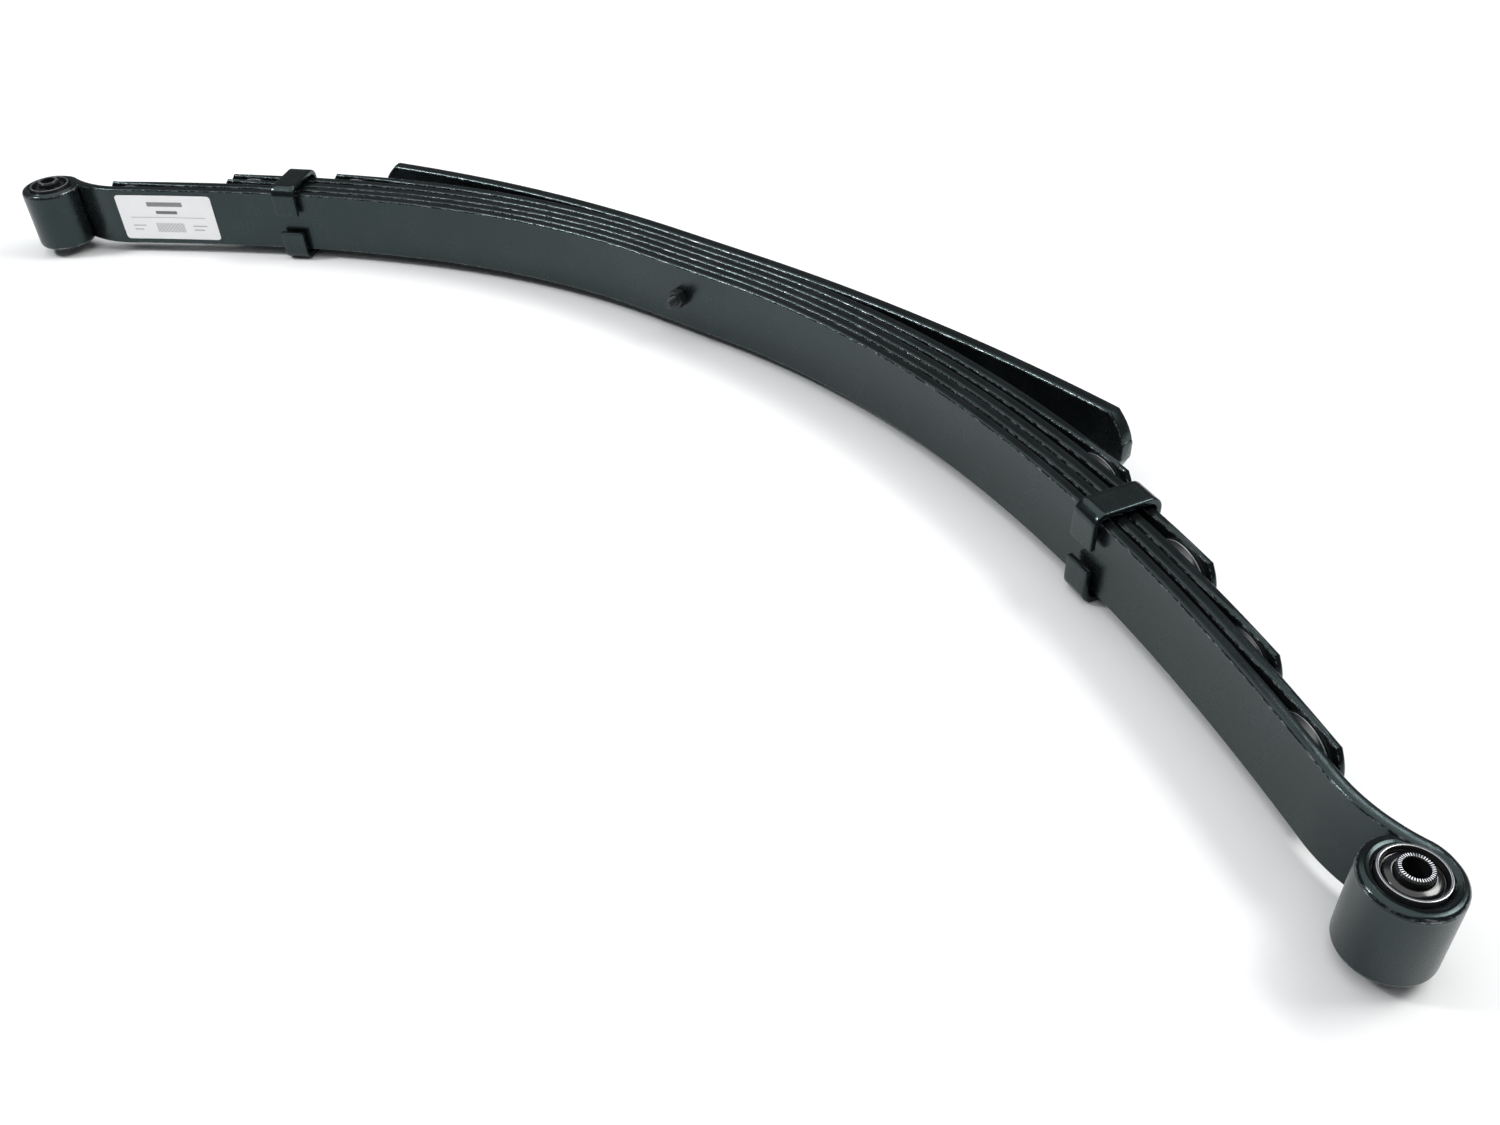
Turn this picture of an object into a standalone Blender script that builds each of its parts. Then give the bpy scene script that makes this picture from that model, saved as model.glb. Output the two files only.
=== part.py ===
"""Multi-leaf suspension spring lying on its edge, built as separate named pieces.

Units are metres.  X runs along the axle seat from the front (short) arm to the
rear (long) arm, +Y is the convex side where the axle seats, and Z is the width
of the leaves.  The origin is the middle of the axle seat.
"""
import math

import bmesh
import bpy
import numpy as np
from mathutils import Vector

# ---------------------------------------------------------------- leaf pack
LEAF_WIDTH = 0.0635
LEAF_THICKNESS = 0.0095
OVERLOAD_THICKNESS = 0.0127
LEAF_GAP = 0.0003
EDGE_CHAMFER = 0.0014
CLAMP_HALF_LENGTH = 0.050
TIP_THICKNESS = 0.0040
TIP_TAPER_LENGTH = 0.100
TIP_TRIM_LENGTH = 0.008
TIP_TRIM_WIDTH = 0.0165
OVERLOAD_TRIM_LENGTH = 0.016
OVERLOAD_TRIM_WIDTH = 0.0225

# ------------------------------------------------------------ main leaf arms
FRONT_ARM_LENGTH = 0.732
REAR_ARM_LENGTH = 0.837
FRONT_ROOT_CURVATURE = 1.60
FRONT_TIP_CURVATURE = 0.10
REAR_ROOT_CURVATURE = 1.36
REAR_TIP_CURVATURE = 0.33
EYE_BEND_LENGTH = 0.070
FRONT_EYE_BEND_ANGLE = math.radians(40.4)
REAR_EYE_BEND_ANGLE = math.radians(35.7)
EYE_INNER_RADIUS = 0.0198
EYE_WRAP_ANGLE = math.radians(312.0)

# -------------------------------------- leaf tips, as set-backs along each arm
FRONT_SECOND_SETBACK = 0.0476
FRONT_THIRD_SETBACK = 0.1755
FRONT_FOURTH_SETBACK = 0.1770
FRONT_FIFTH_SETBACK = 0.2874
REAR_SECOND_SETBACK = 0.074
REAR_THIRD_SETBACK = 0.152
REAR_FOURTH_SETBACK = 0.242
REAR_FIFTH_SETBACK = 0.351
SECOND_TIP_LIFT = 0.0025
THIRD_TIP_LIFT = 0.0029
FOURTH_TIP_LIFT = 0.0065
FIFTH_TIP_LIFT = 0.0080
FRONT_OVERLOAD_LENGTH = 0.428
REAR_OVERLOAD_LENGTH = 0.459
FRONT_OVERLOAD_CURVATURE = 0.74
REAR_OVERLOAD_CURVATURE = 0.56

# ------------------------------------------------------------------ tip pads
PAD_EDGE_MARGIN = 0.003
PAD_TIP_MARGIN = 0.004

# -------------------------------------------------------------- rebound clips
CLIP_BEYOND_FIFTH_TIP = 0.024
CLIP_WIDTH = 0.025
CLIP_THICKNESS = 0.0050
CLIP_EDGE_CLEARANCE = 0.0042
CLIP_FACE_CLEARANCE = 0.0035
CLIP_BEND_RADIUS = 0.0085
CLIP_TAB_GAP = 0.019
RIVET_RADIUS = 0.0045
RIVET_HEAD_RADIUS = 0.0080
RIVET_HEAD_HEIGHT = 0.0042

# ------------------------------------------------------------------ fasteners
BOLT_RADIUS = 0.00475
BOLT_HEAD_RADIUS = 0.0095
BOLT_HEAD_HEIGHT = 0.0085
BOLT_TAIL = 0.0105
NUT_ACROSS_FLATS = 0.0160
NUT_HEIGHT = 0.0088
HOLE_CLEARANCE = 0.0003

# ------------------------------------------------------------------- bushings
SHELL_WALL = 0.0016
SHELL_PROUD = 0.0018
SLEEVE_BORE_RADIUS = 0.0073
SLEEVE_WALL = 0.0031
SLEEVE_PROUD = 0.0058
RUBBER_PROUD = 0.0006

# ---------------------------------------------------------------------- label
LABEL_LENGTH = 0.108
LABEL_HEIGHT = 0.050
LABEL_THICKNESS = 0.0003
LABEL_SETBACK = 0.067

# ------------------------------------------------------------- derived values
FRONT = -1
REAR = 1
PITCH = LEAF_THICKNESS + LEAF_GAP
LEAF_COUNT = 5
PACK_DEPTH = LEAF_COUNT * PITCH
MAIN_FACE_Y = -OVERLOAD_THICKNESS - PACK_DEPTH
HALF_WIDTH = LEAF_WIDTH / 2
EYE_OUTER_RADIUS = EYE_INNER_RADIUS + LEAF_THICKNESS
PAD_RADIUS = HALF_WIDTH - PAD_EDGE_MARGIN
TIP_CORNER = ((1.0, 0.0), (0.44, 0.40), (0.0, 1.0))
ARM_STEPS = 700

ARM_LENGTH = {FRONT: FRONT_ARM_LENGTH, REAR: REAR_ARM_LENGTH}
ROOT_CURVATURE = {FRONT: FRONT_ROOT_CURVATURE, REAR: REAR_ROOT_CURVATURE}
TIP_CURVATURE = {FRONT: FRONT_TIP_CURVATURE, REAR: REAR_TIP_CURVATURE}
EYE_BEND_ANGLE = {FRONT: FRONT_EYE_BEND_ANGLE, REAR: REAR_EYE_BEND_ANGLE}
OVERLOAD_LENGTH = {FRONT: FRONT_OVERLOAD_LENGTH, REAR: REAR_OVERLOAD_LENGTH}
OVERLOAD_CURVATURE = {FRONT: FRONT_OVERLOAD_CURVATURE, REAR: REAR_OVERLOAD_CURVATURE}
SETBACK = {
    2: {FRONT: FRONT_SECOND_SETBACK, REAR: REAR_SECOND_SETBACK},
    3: {FRONT: FRONT_THIRD_SETBACK, REAR: REAR_THIRD_SETBACK},
    4: {FRONT: FRONT_FOURTH_SETBACK, REAR: REAR_FOURTH_SETBACK},
    5: {FRONT: FRONT_FIFTH_SETBACK, REAR: REAR_FIFTH_SETBACK},
}
TIP_LIFT = {2: SECOND_TIP_LIFT, 3: THIRD_TIP_LIFT, 4: FOURTH_TIP_LIFT, 5: FIFTH_TIP_LIFT}
LEAF_NAMES = {1: "main_leaf", 2: "second_leaf", 3: "third_leaf", 4: "fourth_leaf", 5: "fifth_leaf"}
SIDE_NAMES = {FRONT: "front", REAR: "rear"}

BLACK_PAINT = (0.020, 0.022, 0.022)
OVERLOAD_PAINT = (0.018, 0.020, 0.020)
RUBBER_BLACK = (0.012, 0.012, 0.013)
PAD_BLACK = (0.035, 0.036, 0.038)
BARE_STEEL = (0.30, 0.30, 0.31)
LABEL_WHITE = (0.86, 0.86, 0.84)


def clear_scene():
    """Remove whatever the scene holds."""
    for old in list(bpy.data.objects):
        bpy.data.objects.remove(old, do_unlink=True)


def make_material(name, colour, metallic, roughness):
    """Return a plain Principled material for one piece."""
    material = bpy.data.materials.new(name)
    material.use_nodes = True
    shader = material.node_tree.nodes["Principled BSDF"]
    shader.inputs["Base Color"].default_value = (*colour, 1.0)
    shader.inputs["Metallic"].default_value = metallic
    shader.inputs["Roughness"].default_value = roughness
    return material


def add_piece(name, points, faces, finish, origin=(0.0, 0.0, 0.0), smooth=True):
    """Add one closed mesh whose object origin sits at the given point."""
    centre = Vector(origin)
    mesh = bpy.data.meshes.new(name)
    mesh.from_pydata([Vector(point) - centre for point in points], [], faces)
    work = bmesh.new()
    work.from_mesh(mesh)
    bmesh.ops.recalc_face_normals(work, faces=work.faces)
    work.to_mesh(mesh)
    work.free()
    if smooth:
        mesh.shade_smooth()
        mesh.set_sharp_from_angle(angle=math.radians(32.0))
    piece = bpy.data.objects.new(name, mesh)
    piece.location = centre
    bpy.context.scene.collection.objects.link(piece)
    if finish is not None:
        colour, metallic, roughness = finish
        mesh.materials.append(make_material(name + "_finish", colour, metallic, roughness))
    return piece


def loft(rings, closed=False):
    """Return points and faces that join equal rings, with flat ends unless closed."""
    count = len(rings[0])
    points = [point for ring in rings for point in ring]
    faces = []
    spans = len(rings) if closed else len(rings) - 1
    for row in range(spans):
        here = row * count
        there = ((row + 1) % len(rings)) * count
        for column in range(count):
            following = (column + 1) % count
            faces.append((here + column, here + following, there + following, there + column))
    if not closed:
        faces.append(tuple(range(count)))
        last = (len(rings) - 1) * count
        faces.append(tuple(last + column for column in range(count)))
    return points, faces


def turned(profile, segments, centre, across, along_up, axis):
    """Revolve a profile of (radius, height) about an axis; radius 0 closes an end."""
    rings = []
    for step in range(segments):
        angle = 2 * math.pi * step / segments
        radial = math.cos(angle) * across + math.sin(angle) * along_up
        rings.append([centre + radius * radial + height * axis for radius, height in profile])
    return loft(rings, closed=True)


def turned_rod(profile, segments, centre, across, along_up, axis):
    """Revolve an open profile of rings into a solid rod with flat ends."""
    rings = []
    for radius, height in profile:
        ring = []
        for step in range(segments):
            angle = 2 * math.pi * step / segments
            radial = math.cos(angle) * across + math.sin(angle) * along_up
            ring.append(centre + radius * radial + height * axis)
        rings.append(ring)
    return loft(rings)


# ------------------------------------------------------------ leaf centre line
def arm_heading(side, distance):
    """Angle of the main leaf below the seat direction at a distance from the bolt."""
    length = ARM_LENGTH[side]
    root = ROOT_CURVATURE[side]
    tip = TIP_CURVATURE[side]
    span = length - CLAMP_HALF_LENGTH
    run = np.clip(distance - CLAMP_HALF_LENGTH, 0.0, None)
    sweep = root * run + (tip - root) * run * run / (2 * span)
    bend = np.clip(distance - (length - EYE_BEND_LENGTH), 0.0, None) / EYE_BEND_LENGTH
    return sweep - EYE_BEND_ANGLE[side] * bend


def arm_table(side):
    """Tabulate distance, x, y and heading of the main leaf's concave face."""
    distance = np.linspace(0.0, ARM_LENGTH[side], ARM_STEPS)
    heading = arm_heading(side, distance)
    step = np.diff(distance)
    middle = (heading[1:] + heading[:-1]) / 2
    x = np.concatenate([[0.0], np.cumsum(np.cos(middle) * step)]) * side
    y = MAIN_FACE_Y - np.concatenate([[0.0], np.cumsum(np.sin(middle) * step)])
    return distance, x, y, heading


ARM = {FRONT: arm_table(FRONT), REAR: arm_table(REAR)}


def face_frame(side, distance):
    """Return the face point, outward direction and outgoing direction at a distance."""
    table_distance, table_x, table_y, table_heading = ARM[side]
    x = float(np.interp(distance, table_distance, table_x))
    y = float(np.interp(distance, table_distance, table_y))
    heading = float(np.interp(distance, table_distance, table_heading))
    outward = Vector((side * math.sin(heading), math.cos(heading), 0.0))
    outgoing = Vector((side * math.cos(heading), -math.sin(heading), 0.0))
    return Vector((x, y, 0.0)), outward, outgoing


def leaf_section(base, outward, inner, outer, half_width, chamfer):
    """Eight corners of a leaf with its long edges taken off."""
    up = Vector((0.0, 0.0, 1.0))
    corners = (
        (inner + chamfer, -half_width),
        (outer - chamfer, -half_width),
        (outer, -half_width + chamfer),
        (outer, half_width - chamfer),
        (outer - chamfer, half_width),
        (inner + chamfer, half_width),
        (inner, half_width - chamfer),
        (inner, -half_width + chamfer),
    )
    return [base + outward * depth + up * height for depth, height in corners]


def leaf_tip(number, side):
    """Distance from the bolt to a leaf's tip."""
    return ARM_LENGTH[side] - SETBACK[number][side]


def leaf_outer(number, side, distance):
    """Depth of a leaf's convex face from the main leaf's concave face."""
    tight = number * PITCH - LEAF_GAP
    if number == 1:
        return tight
    reach = leaf_tip(number, side) - CLAMP_HALF_LENGTH
    part = min(max((distance - CLAMP_HALF_LENGTH) / reach, 0.0), 1.0)
    return tight + TIP_LIFT[number] * part * part * (3 - 2 * part)


def leaf_inner(number, side, distance):
    """Depth of a leaf's concave face, which is ground away towards the tip."""
    thickness = LEAF_THICKNESS
    if number > 1:
        start = leaf_tip(number, side) - TIP_TAPER_LENGTH
        part = min(max((distance - start) / TIP_TAPER_LENGTH, 0.0), 1.0)
        thickness = LEAF_THICKNESS + (TIP_THICKNESS - LEAF_THICKNESS) * part
    return leaf_outer(number, side, distance) - thickness


def spaced(start, end, pitch):
    """Evenly spaced values from start to end, both included."""
    count = max(1, round(abs(end - start) / pitch))
    return [start + (end - start) * index / count for index in range(count + 1)]


def eye_centre(side):
    """Centre of the eye rolled on the end of an arm."""
    base, outward, outgoing = face_frame(side, ARM_LENGTH[side])
    return base - outward * EYE_INNER_RADIUS


def eye_rings(side):
    """Sections round the eye, from the arm to the free end of the roll."""
    base, outward, outgoing = face_frame(side, ARM_LENGTH[side])
    centre = base - outward * EYE_INNER_RADIUS
    rings = []
    steps = 28
    for step in range(1, steps + 1):
        angle = EYE_WRAP_ANGLE * step / steps
        radial = outward * math.cos(angle) + outgoing * math.sin(angle)
        ring = leaf_section(
            centre, radial, EYE_INNER_RADIUS, EYE_OUTER_RADIUS, HALF_WIDTH, EDGE_CHAMFER
        )
        rings.append(ring)
    return rings


def main_arm_rings(side):
    """Sections of the main leaf from just past the clamped length to the eye."""
    bend_start = ARM_LENGTH[side] - EYE_BEND_LENGTH
    stations = spaced(CLAMP_HALF_LENGTH, bend_start, 0.026)
    stations += spaced(bend_start, ARM_LENGTH[side], 0.009)[1:]
    rings = []
    for distance in stations:
        base, outward, outgoing = face_frame(side, distance)
        rings.append(
            leaf_section(base, outward, 0.0, LEAF_THICKNESS, HALF_WIDTH, EDGE_CHAMFER)
        )
    return rings + eye_rings(side)


def build_main_leaf():
    """One leaf with an eye rolled up at each end."""
    front = main_arm_rings(FRONT)
    rear = main_arm_rings(REAR)
    points, faces = loft(front[::-1] + rear)
    return add_piece("main_leaf", points, faces, (BLACK_PAINT, 0.0, 0.38))


def arm_stations(tip, trim_length, trim_width):
    """Distances from the clamped length to a tip, each with the half width there."""
    taper_start = tip - TIP_TAPER_LENGTH
    stations = spaced(CLAMP_HALF_LENGTH, taper_start, 0.026)
    stations += spaced(taper_start, tip - trim_length, 0.022)[1:-1]
    placed = [(distance, HALF_WIDTH) for distance in stations]
    for along, across in TIP_CORNER:
        placed.append((tip - trim_length * along, HALF_WIDTH - trim_width * across))
    return placed


def build_short_leaf(number):
    """A graduated leaf with thinned ends and trimmed corners."""
    halves = {}
    for side in (FRONT, REAR):
        tip = leaf_tip(number, side)
        rings = []
        for distance, half in arm_stations(tip, TIP_TRIM_LENGTH, TIP_TRIM_WIDTH):
            base, outward, outgoing = face_frame(side, distance)
            inner = leaf_inner(number, side, distance)
            outer = leaf_outer(number, side, distance)
            rings.append(leaf_section(base, outward, inner, outer, half, EDGE_CHAMFER))
        halves[side] = rings
    points, faces = loft(halves[FRONT][::-1] + halves[REAR])
    return add_piece(LEAF_NAMES[number], points, faces, (BLACK_PAINT, 0.0, 0.38))


def overload_frame(side, distance):
    """Point and directions on the overload leaf's concave face."""
    curvature = OVERLOAD_CURVATURE[side]
    run = max(0.0, distance - CLAMP_HALF_LENGTH)
    heading = curvature * run
    x = min(distance, CLAMP_HALF_LENGTH) + math.sin(heading) / curvature
    y = -OVERLOAD_THICKNESS - (1 - math.cos(heading)) / curvature
    outward = Vector((side * math.sin(heading), math.cos(heading), 0.0))
    return Vector((side * x, y, 0.0)), outward


def build_overload_leaf():
    """The thicker, flatter leaf that only works under a heavy load."""
    halves = {}
    for side in (FRONT, REAR):
        tip = OVERLOAD_LENGTH[side]
        rings = []
        for distance, half in arm_stations(tip, OVERLOAD_TRIM_LENGTH, OVERLOAD_TRIM_WIDTH):
            base, outward = overload_frame(side, distance)
            ring = leaf_section(base, outward, 0.0, OVERLOAD_THICKNESS, half, EDGE_CHAMFER)
            rings.append(ring)
        halves[side] = rings
    points, faces = loft(halves[FRONT][::-1] + halves[REAR])
    return add_piece("overload_leaf", points, faces, (OVERLOAD_PAINT, 0.0, 0.36))


# --------------------------------------------------------------- moving groups
def arm_pivot(side):
    """Point of the equivalent hinge a third of the way along the free arm."""
    distance = CLAMP_HALF_LENGTH + (ARM_LENGTH[side] - CLAMP_HALF_LENGTH) / 3
    base, outward, outgoing = face_frame(side, distance)
    return base + outward * (PACK_DEPTH / 2)


def build_pad(number, side):
    """A round wear pad held between a leaf's tip and the leaf before it."""
    middle = leaf_tip(number, side) - PAD_TIP_MARGIN - PAD_RADIUS
    up = Vector((0.0, 0.0, 1.0))
    steps = 18
    rings = []
    for step in range(steps):
        angle = math.pi * (step + 0.35) / (steps - 0.3)
        distance = middle + PAD_RADIUS * math.cos(angle)
        reach = up * (PAD_RADIUS * math.sin(angle))
        base, outward, outgoing = face_frame(side, distance)
        under = base + outward * (leaf_outer(number - 1, side, distance) + LEAF_GAP)
        over = base + outward * (leaf_inner(number, side, distance) - LEAF_GAP)
        rings.append([under - reach, over - reach, over + reach, under + reach])
    points, faces = loft(rings)
    name = LEAF_NAMES[number] + "_" + SIDE_NAMES[side] + "_pad"
    return add_piece(name, points, faces, (PAD_BLACK, 0.0, 0.5), arm_pivot(side))


def clip_distance(side):
    """Distance from the bolt to the middle of a rebound clip."""
    return leaf_tip(5, side) + CLIP_BEYOND_FIFTH_TIP


def clip_path(side):
    """Middle line of the bent strap as (depth, height, depth normal, height normal)."""
    reach = HALF_WIDTH + CLIP_EDGE_CLEARANCE + CLIP_THICKNESS / 2
    near = -CLIP_FACE_CLEARANCE - CLIP_THICKNESS / 2
    back = leaf_outer(4, side, clip_distance(side)) + LEAF_GAP + CLIP_THICKNESS / 2
    radius = CLIP_BEND_RADIUS
    upper = [(near, CLIP_TAB_GAP / 2, -1.0, 0.0)]
    bends = ((near + radius, math.pi), (back - radius, math.pi / 2))
    for centre_depth, start in bends:
        for step in range(7):
            angle = start - math.pi / 2 * step / 6
            across = math.cos(angle)
            rise = math.sin(angle)
            depth = centre_depth + radius * across
            height = reach - radius + radius * rise
            upper.append((depth, height, across, rise))
    lower = [(depth, -height, across, -rise) for depth, height, across, rise in upper]
    return upper + lower[::-1]


def build_clip(side):
    """A strap riveted to the fourth leaf and folded over the pack."""
    base, outward, outgoing = face_frame(side, clip_distance(side))
    up = Vector((0.0, 0.0, 1.0))
    half = CLIP_WIDTH / 2
    thick = CLIP_THICKNESS / 2
    bevel = 0.0009
    corners = (
        (-half + bevel, -thick),
        (half - bevel, -thick),
        (half, -thick + bevel),
        (half, thick - bevel),
        (half - bevel, thick),
        (-half + bevel, thick),
        (-half, thick - bevel),
        (-half, -thick + bevel),
    )
    rings = []
    for depth, height, across, rise in clip_path(side):
        middle = base + outward * depth + up * height
        normal = outward * across + up * rise
        rings.append([middle + outgoing * along + normal * out for along, out in corners])
    points, faces = loft(rings)
    name = SIDE_NAMES[side] + "_rebound_clip"
    return add_piece(name, points, faces, (BLACK_PAINT, 0.0, 0.42), arm_pivot(side))


def build_rivet(side):
    """The rivet that holds a clip to the fourth leaf."""
    distance = clip_distance(side)
    base, outward, outgoing = face_frame(side, distance)
    start = leaf_inner(4, side, distance) + LEAF_GAP
    seat = leaf_outer(4, side, distance) + LEAF_GAP + CLIP_THICKNESS + LEAF_GAP
    profile = [(RIVET_RADIUS, start), (RIVET_RADIUS, seat), (RIVET_HEAD_RADIUS, seat)]
    for step in range(1, 5):
        angle = math.pi / 2 * step / 5
        radius = RIVET_HEAD_RADIUS * math.cos(angle)
        profile.append((radius, seat + RIVET_HEAD_HEIGHT * math.sin(angle)))
    up = Vector((0.0, 0.0, 1.0))
    points, faces = turned_rod(profile, 24, base, outgoing, up, outward)
    name = SIDE_NAMES[side] + "_clip_rivet"
    return add_piece(name, points, faces, (BLACK_PAINT, 0.0, 0.42), arm_pivot(side))


# -------------------------------------------------------------------- bushings
def tube_profile(inner, outer, half_length, chamfer):
    """Closed profile of a tube with its four end corners broken."""
    return [
        (inner, -half_length + chamfer),
        (inner + chamfer, -half_length),
        (outer - chamfer, -half_length),
        (outer, -half_length + chamfer),
        (outer, half_length - chamfer),
        (outer - chamfer, half_length),
        (inner + chamfer, half_length),
        (inner, half_length - chamfer),
    ]


def build_bushing(side):
    """Outer shell, rubber and inner sleeve of one eye bushing."""
    centre = eye_centre(side)
    pivot = arm_pivot(side)
    east = Vector((1.0, 0.0, 0.0))
    north = Vector((0.0, 1.0, 0.0))
    up = Vector((0.0, 0.0, 1.0))
    prefix = SIDE_NAMES[side] + "_bushing_"
    shell_outer = EYE_INNER_RADIUS - HOLE_CLEARANCE
    shell_inner = shell_outer - SHELL_WALL
    sleeve_outer = SLEEVE_BORE_RADIUS + SLEEVE_WALL
    shell = tube_profile(shell_inner, shell_outer, HALF_WIDTH + SHELL_PROUD, 0.0004)
    points, faces = turned(shell, 48, centre, east, north, up)
    add_piece(prefix + "shell", points, faces, (BARE_STEEL, 0.9, 0.4), pivot)
    rubber_outer = shell_inner - HOLE_CLEARANCE
    rubber_inner = sleeve_outer + HOLE_CLEARANCE
    rubber = tube_profile(rubber_inner, rubber_outer, HALF_WIDTH + RUBBER_PROUD, 0.0012)
    points, faces = turned(rubber, 48, centre, east, north, up)
    add_piece(prefix + "rubber", points, faces, (RUBBER_BLACK, 0.0, 0.55), pivot)
    sleeve = tube_profile(SLEEVE_BORE_RADIUS, sleeve_outer, HALF_WIDTH + SLEEVE_PROUD, 0.0004)
    points, faces = turned(sleeve, 48, centre, east, north, up)
    add_piece(prefix + "sleeve", points, faces, (BARE_STEEL, 0.9, 0.35), centre)


# ------------------------------------------------------------------- fasteners
def build_center_bolt():
    """Locating bolt: round head in the axle seat, tail past the nut."""
    end = MAIN_FACE_Y - LEAF_GAP - NUT_HEIGHT - BOLT_TAIL
    head = LEAF_GAP
    top = head + BOLT_HEAD_HEIGHT
    profile = [
        (BOLT_RADIUS - 0.0012, end),
        (BOLT_RADIUS, end + 0.0014),
        (BOLT_RADIUS, head),
        (BOLT_HEAD_RADIUS, head),
        (BOLT_HEAD_RADIUS, top - 0.0012),
        (BOLT_HEAD_RADIUS - 0.0012, top),
    ]
    centre = Vector((0.0, 0.0, 0.0))
    east = Vector((1.0, 0.0, 0.0))
    north = Vector((0.0, 1.0, 0.0))
    up = Vector((0.0, 0.0, 1.0))
    points, faces = turned_rod(profile, 32, centre, east, up, north)
    return add_piece("center_bolt", points, faces, (BLACK_PAINT, 0.0, 0.4))


def build_center_nut():
    """Hexagon nut on the concave side."""
    bore = BOLT_RADIUS + HOLE_CLEARANCE
    near = MAIN_FACE_Y - LEAF_GAP
    far = near - NUT_HEIGHT
    apothem = NUT_ACROSS_FLATS / 2
    limit = apothem * 1.02
    bevel = 0.0011
    rings = []
    segments = 36
    for step in range(segments):
        angle = 2 * math.pi * step / segments
        offset = (angle % (math.pi / 3)) - math.pi / 6
        corner = apothem / math.cos(offset)
        faced = min(corner, limit)
        radial = Vector((math.cos(angle), 0.0, math.sin(angle)))
        profile = (
            (bore, far),
            (faced, far),
            (corner, far + bevel),
            (corner, near - bevel),
            (faced, near),
            (bore, near),
        )
        north = Vector((0.0, 1.0, 0.0))
        rings.append([radial * radius + north * height for radius, height in profile])
    points, faces = loft(rings, closed=True)
    return add_piece("center_nut", points, faces, (BLACK_PAINT, 0.0, 0.4), smooth=False)


# ----------------------------------------------------------------------- label
def build_label():
    """A thin blank label on the main leaf near the front eye."""
    end = ARM_LENGTH[FRONT] - LABEL_SETBACK
    half = LABEL_HEIGHT / 2
    radius = 0.004
    outline = []
    corners = (
        (end - radius, half - radius, 0.0),
        (end - LABEL_LENGTH + radius, half - radius, math.pi / 2),
        (end - LABEL_LENGTH + radius, -half + radius, math.pi),
        (end - radius, -half + radius, 3 * math.pi / 2),
    )
    distances = spaced(end - radius, end - LABEL_LENGTH + radius, 0.010)[1:-1]
    for index, (distance, height, start) in enumerate(corners):
        for step in range(4):
            angle = start + math.pi / 2 * step / 3
            along = distance + radius * math.cos(angle)
            outline.append((along, height + radius * math.sin(angle)))
        if index == 0:
            outline += [(along, half) for along in distances]
        if index == 2:
            outline += [(along, -half) for along in distances[::-1]]
    rings = []
    for depth in (-LEAF_GAP, -LEAF_GAP - LABEL_THICKNESS):
        ring = []
        for distance, height in outline:
            base, outward, outgoing = face_frame(FRONT, distance)
            ring.append(base + outward * depth + Vector((0.0, 0.0, height)))
        rings.append(ring)
    count = len(outline)
    points = rings[0] + rings[1]
    faces = []
    for column in range(count):
        following = (column + 1) % count
        faces.append((column, following, count + following, count + column))
    faces += cap_strips(outline, 0)
    faces += cap_strips(outline, count)
    finish = (LABEL_WHITE, 0.0, 0.5)
    return add_piece("label", points, faces, finish, smooth=False)


def cap_strips(outline, shift):
    """Pair the upper and lower outline points so that the cap follows the curve."""
    upper = [index for index, (along, height) in enumerate(outline) if height > 0]
    lower = [index for index, (along, height) in enumerate(outline) if height <= 0]
    upper_order = order_along(outline, upper)
    lower_order = order_along(outline, lower)
    faces = []
    for first in range(len(upper_order) - 1):
        faces.append(
            (
                upper_order[first] + shift,
                upper_order[first + 1] + shift,
                lower_order[first + 1] + shift,
                lower_order[first] + shift,
            )
        )
    return faces


def order_along(outline, indices):
    """Indices of one half of the outline, in order from the far end to the near end."""
    start = min(indices)
    run = sorted(indices, key=lambda index: (index - start) % len(outline))
    if outline[run[0]][0] > outline[run[-1]][0]:
        run = run[::-1]
    return run


# ---------------------------------------------------------------------- holes
def make_cutter(name, points, faces):
    """A hidden solid that only cuts others."""
    cutter = add_piece(name, points, faces, None, smooth=False)
    cutter.hide_render = True
    cutter.display_type = "WIRE"
    return cutter


def cut(piece, cutter):
    """Take the cutter's shape out of a piece."""
    modifier = piece.modifiers.new("hole", "BOOLEAN")
    modifier.operation = "DIFFERENCE"
    modifier.solver = "EXACT"
    modifier.object = cutter


def bolt_hole_cutter():
    """Cylinder on the bolt's axis through the whole pack."""
    radius = BOLT_RADIUS + HOLE_CLEARANCE
    profile = [(radius, MAIN_FACE_Y - 0.004), (radius, 0.004)]
    centre = Vector((0.0, 0.0, 0.0))
    east = Vector((1.0, 0.0, 0.0))
    north = Vector((0.0, 1.0, 0.0))
    up = Vector((0.0, 0.0, 1.0))
    points, faces = turned_rod(profile, 32, centre, east, up, north)
    return make_cutter("bolt_hole_cutter", points, faces)


def rivet_hole_cutter(side):
    """Cylinder on a rivet's axis through the fourth leaf and the clip's back."""
    distance = clip_distance(side)
    base, outward, outgoing = face_frame(side, distance)
    radius = RIVET_RADIUS + HOLE_CLEARANCE
    low = leaf_inner(4, side, distance) - 0.003
    high = leaf_outer(4, side, distance) + CLIP_THICKNESS + 0.004
    up = Vector((0.0, 0.0, 1.0))
    points, faces = turned_rod([(radius, low), (radius, high)], 24, base, outgoing, up, outward)
    return make_cutter(SIDE_NAMES[side] + "_rivet_hole_cutter", points, faces)


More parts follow.
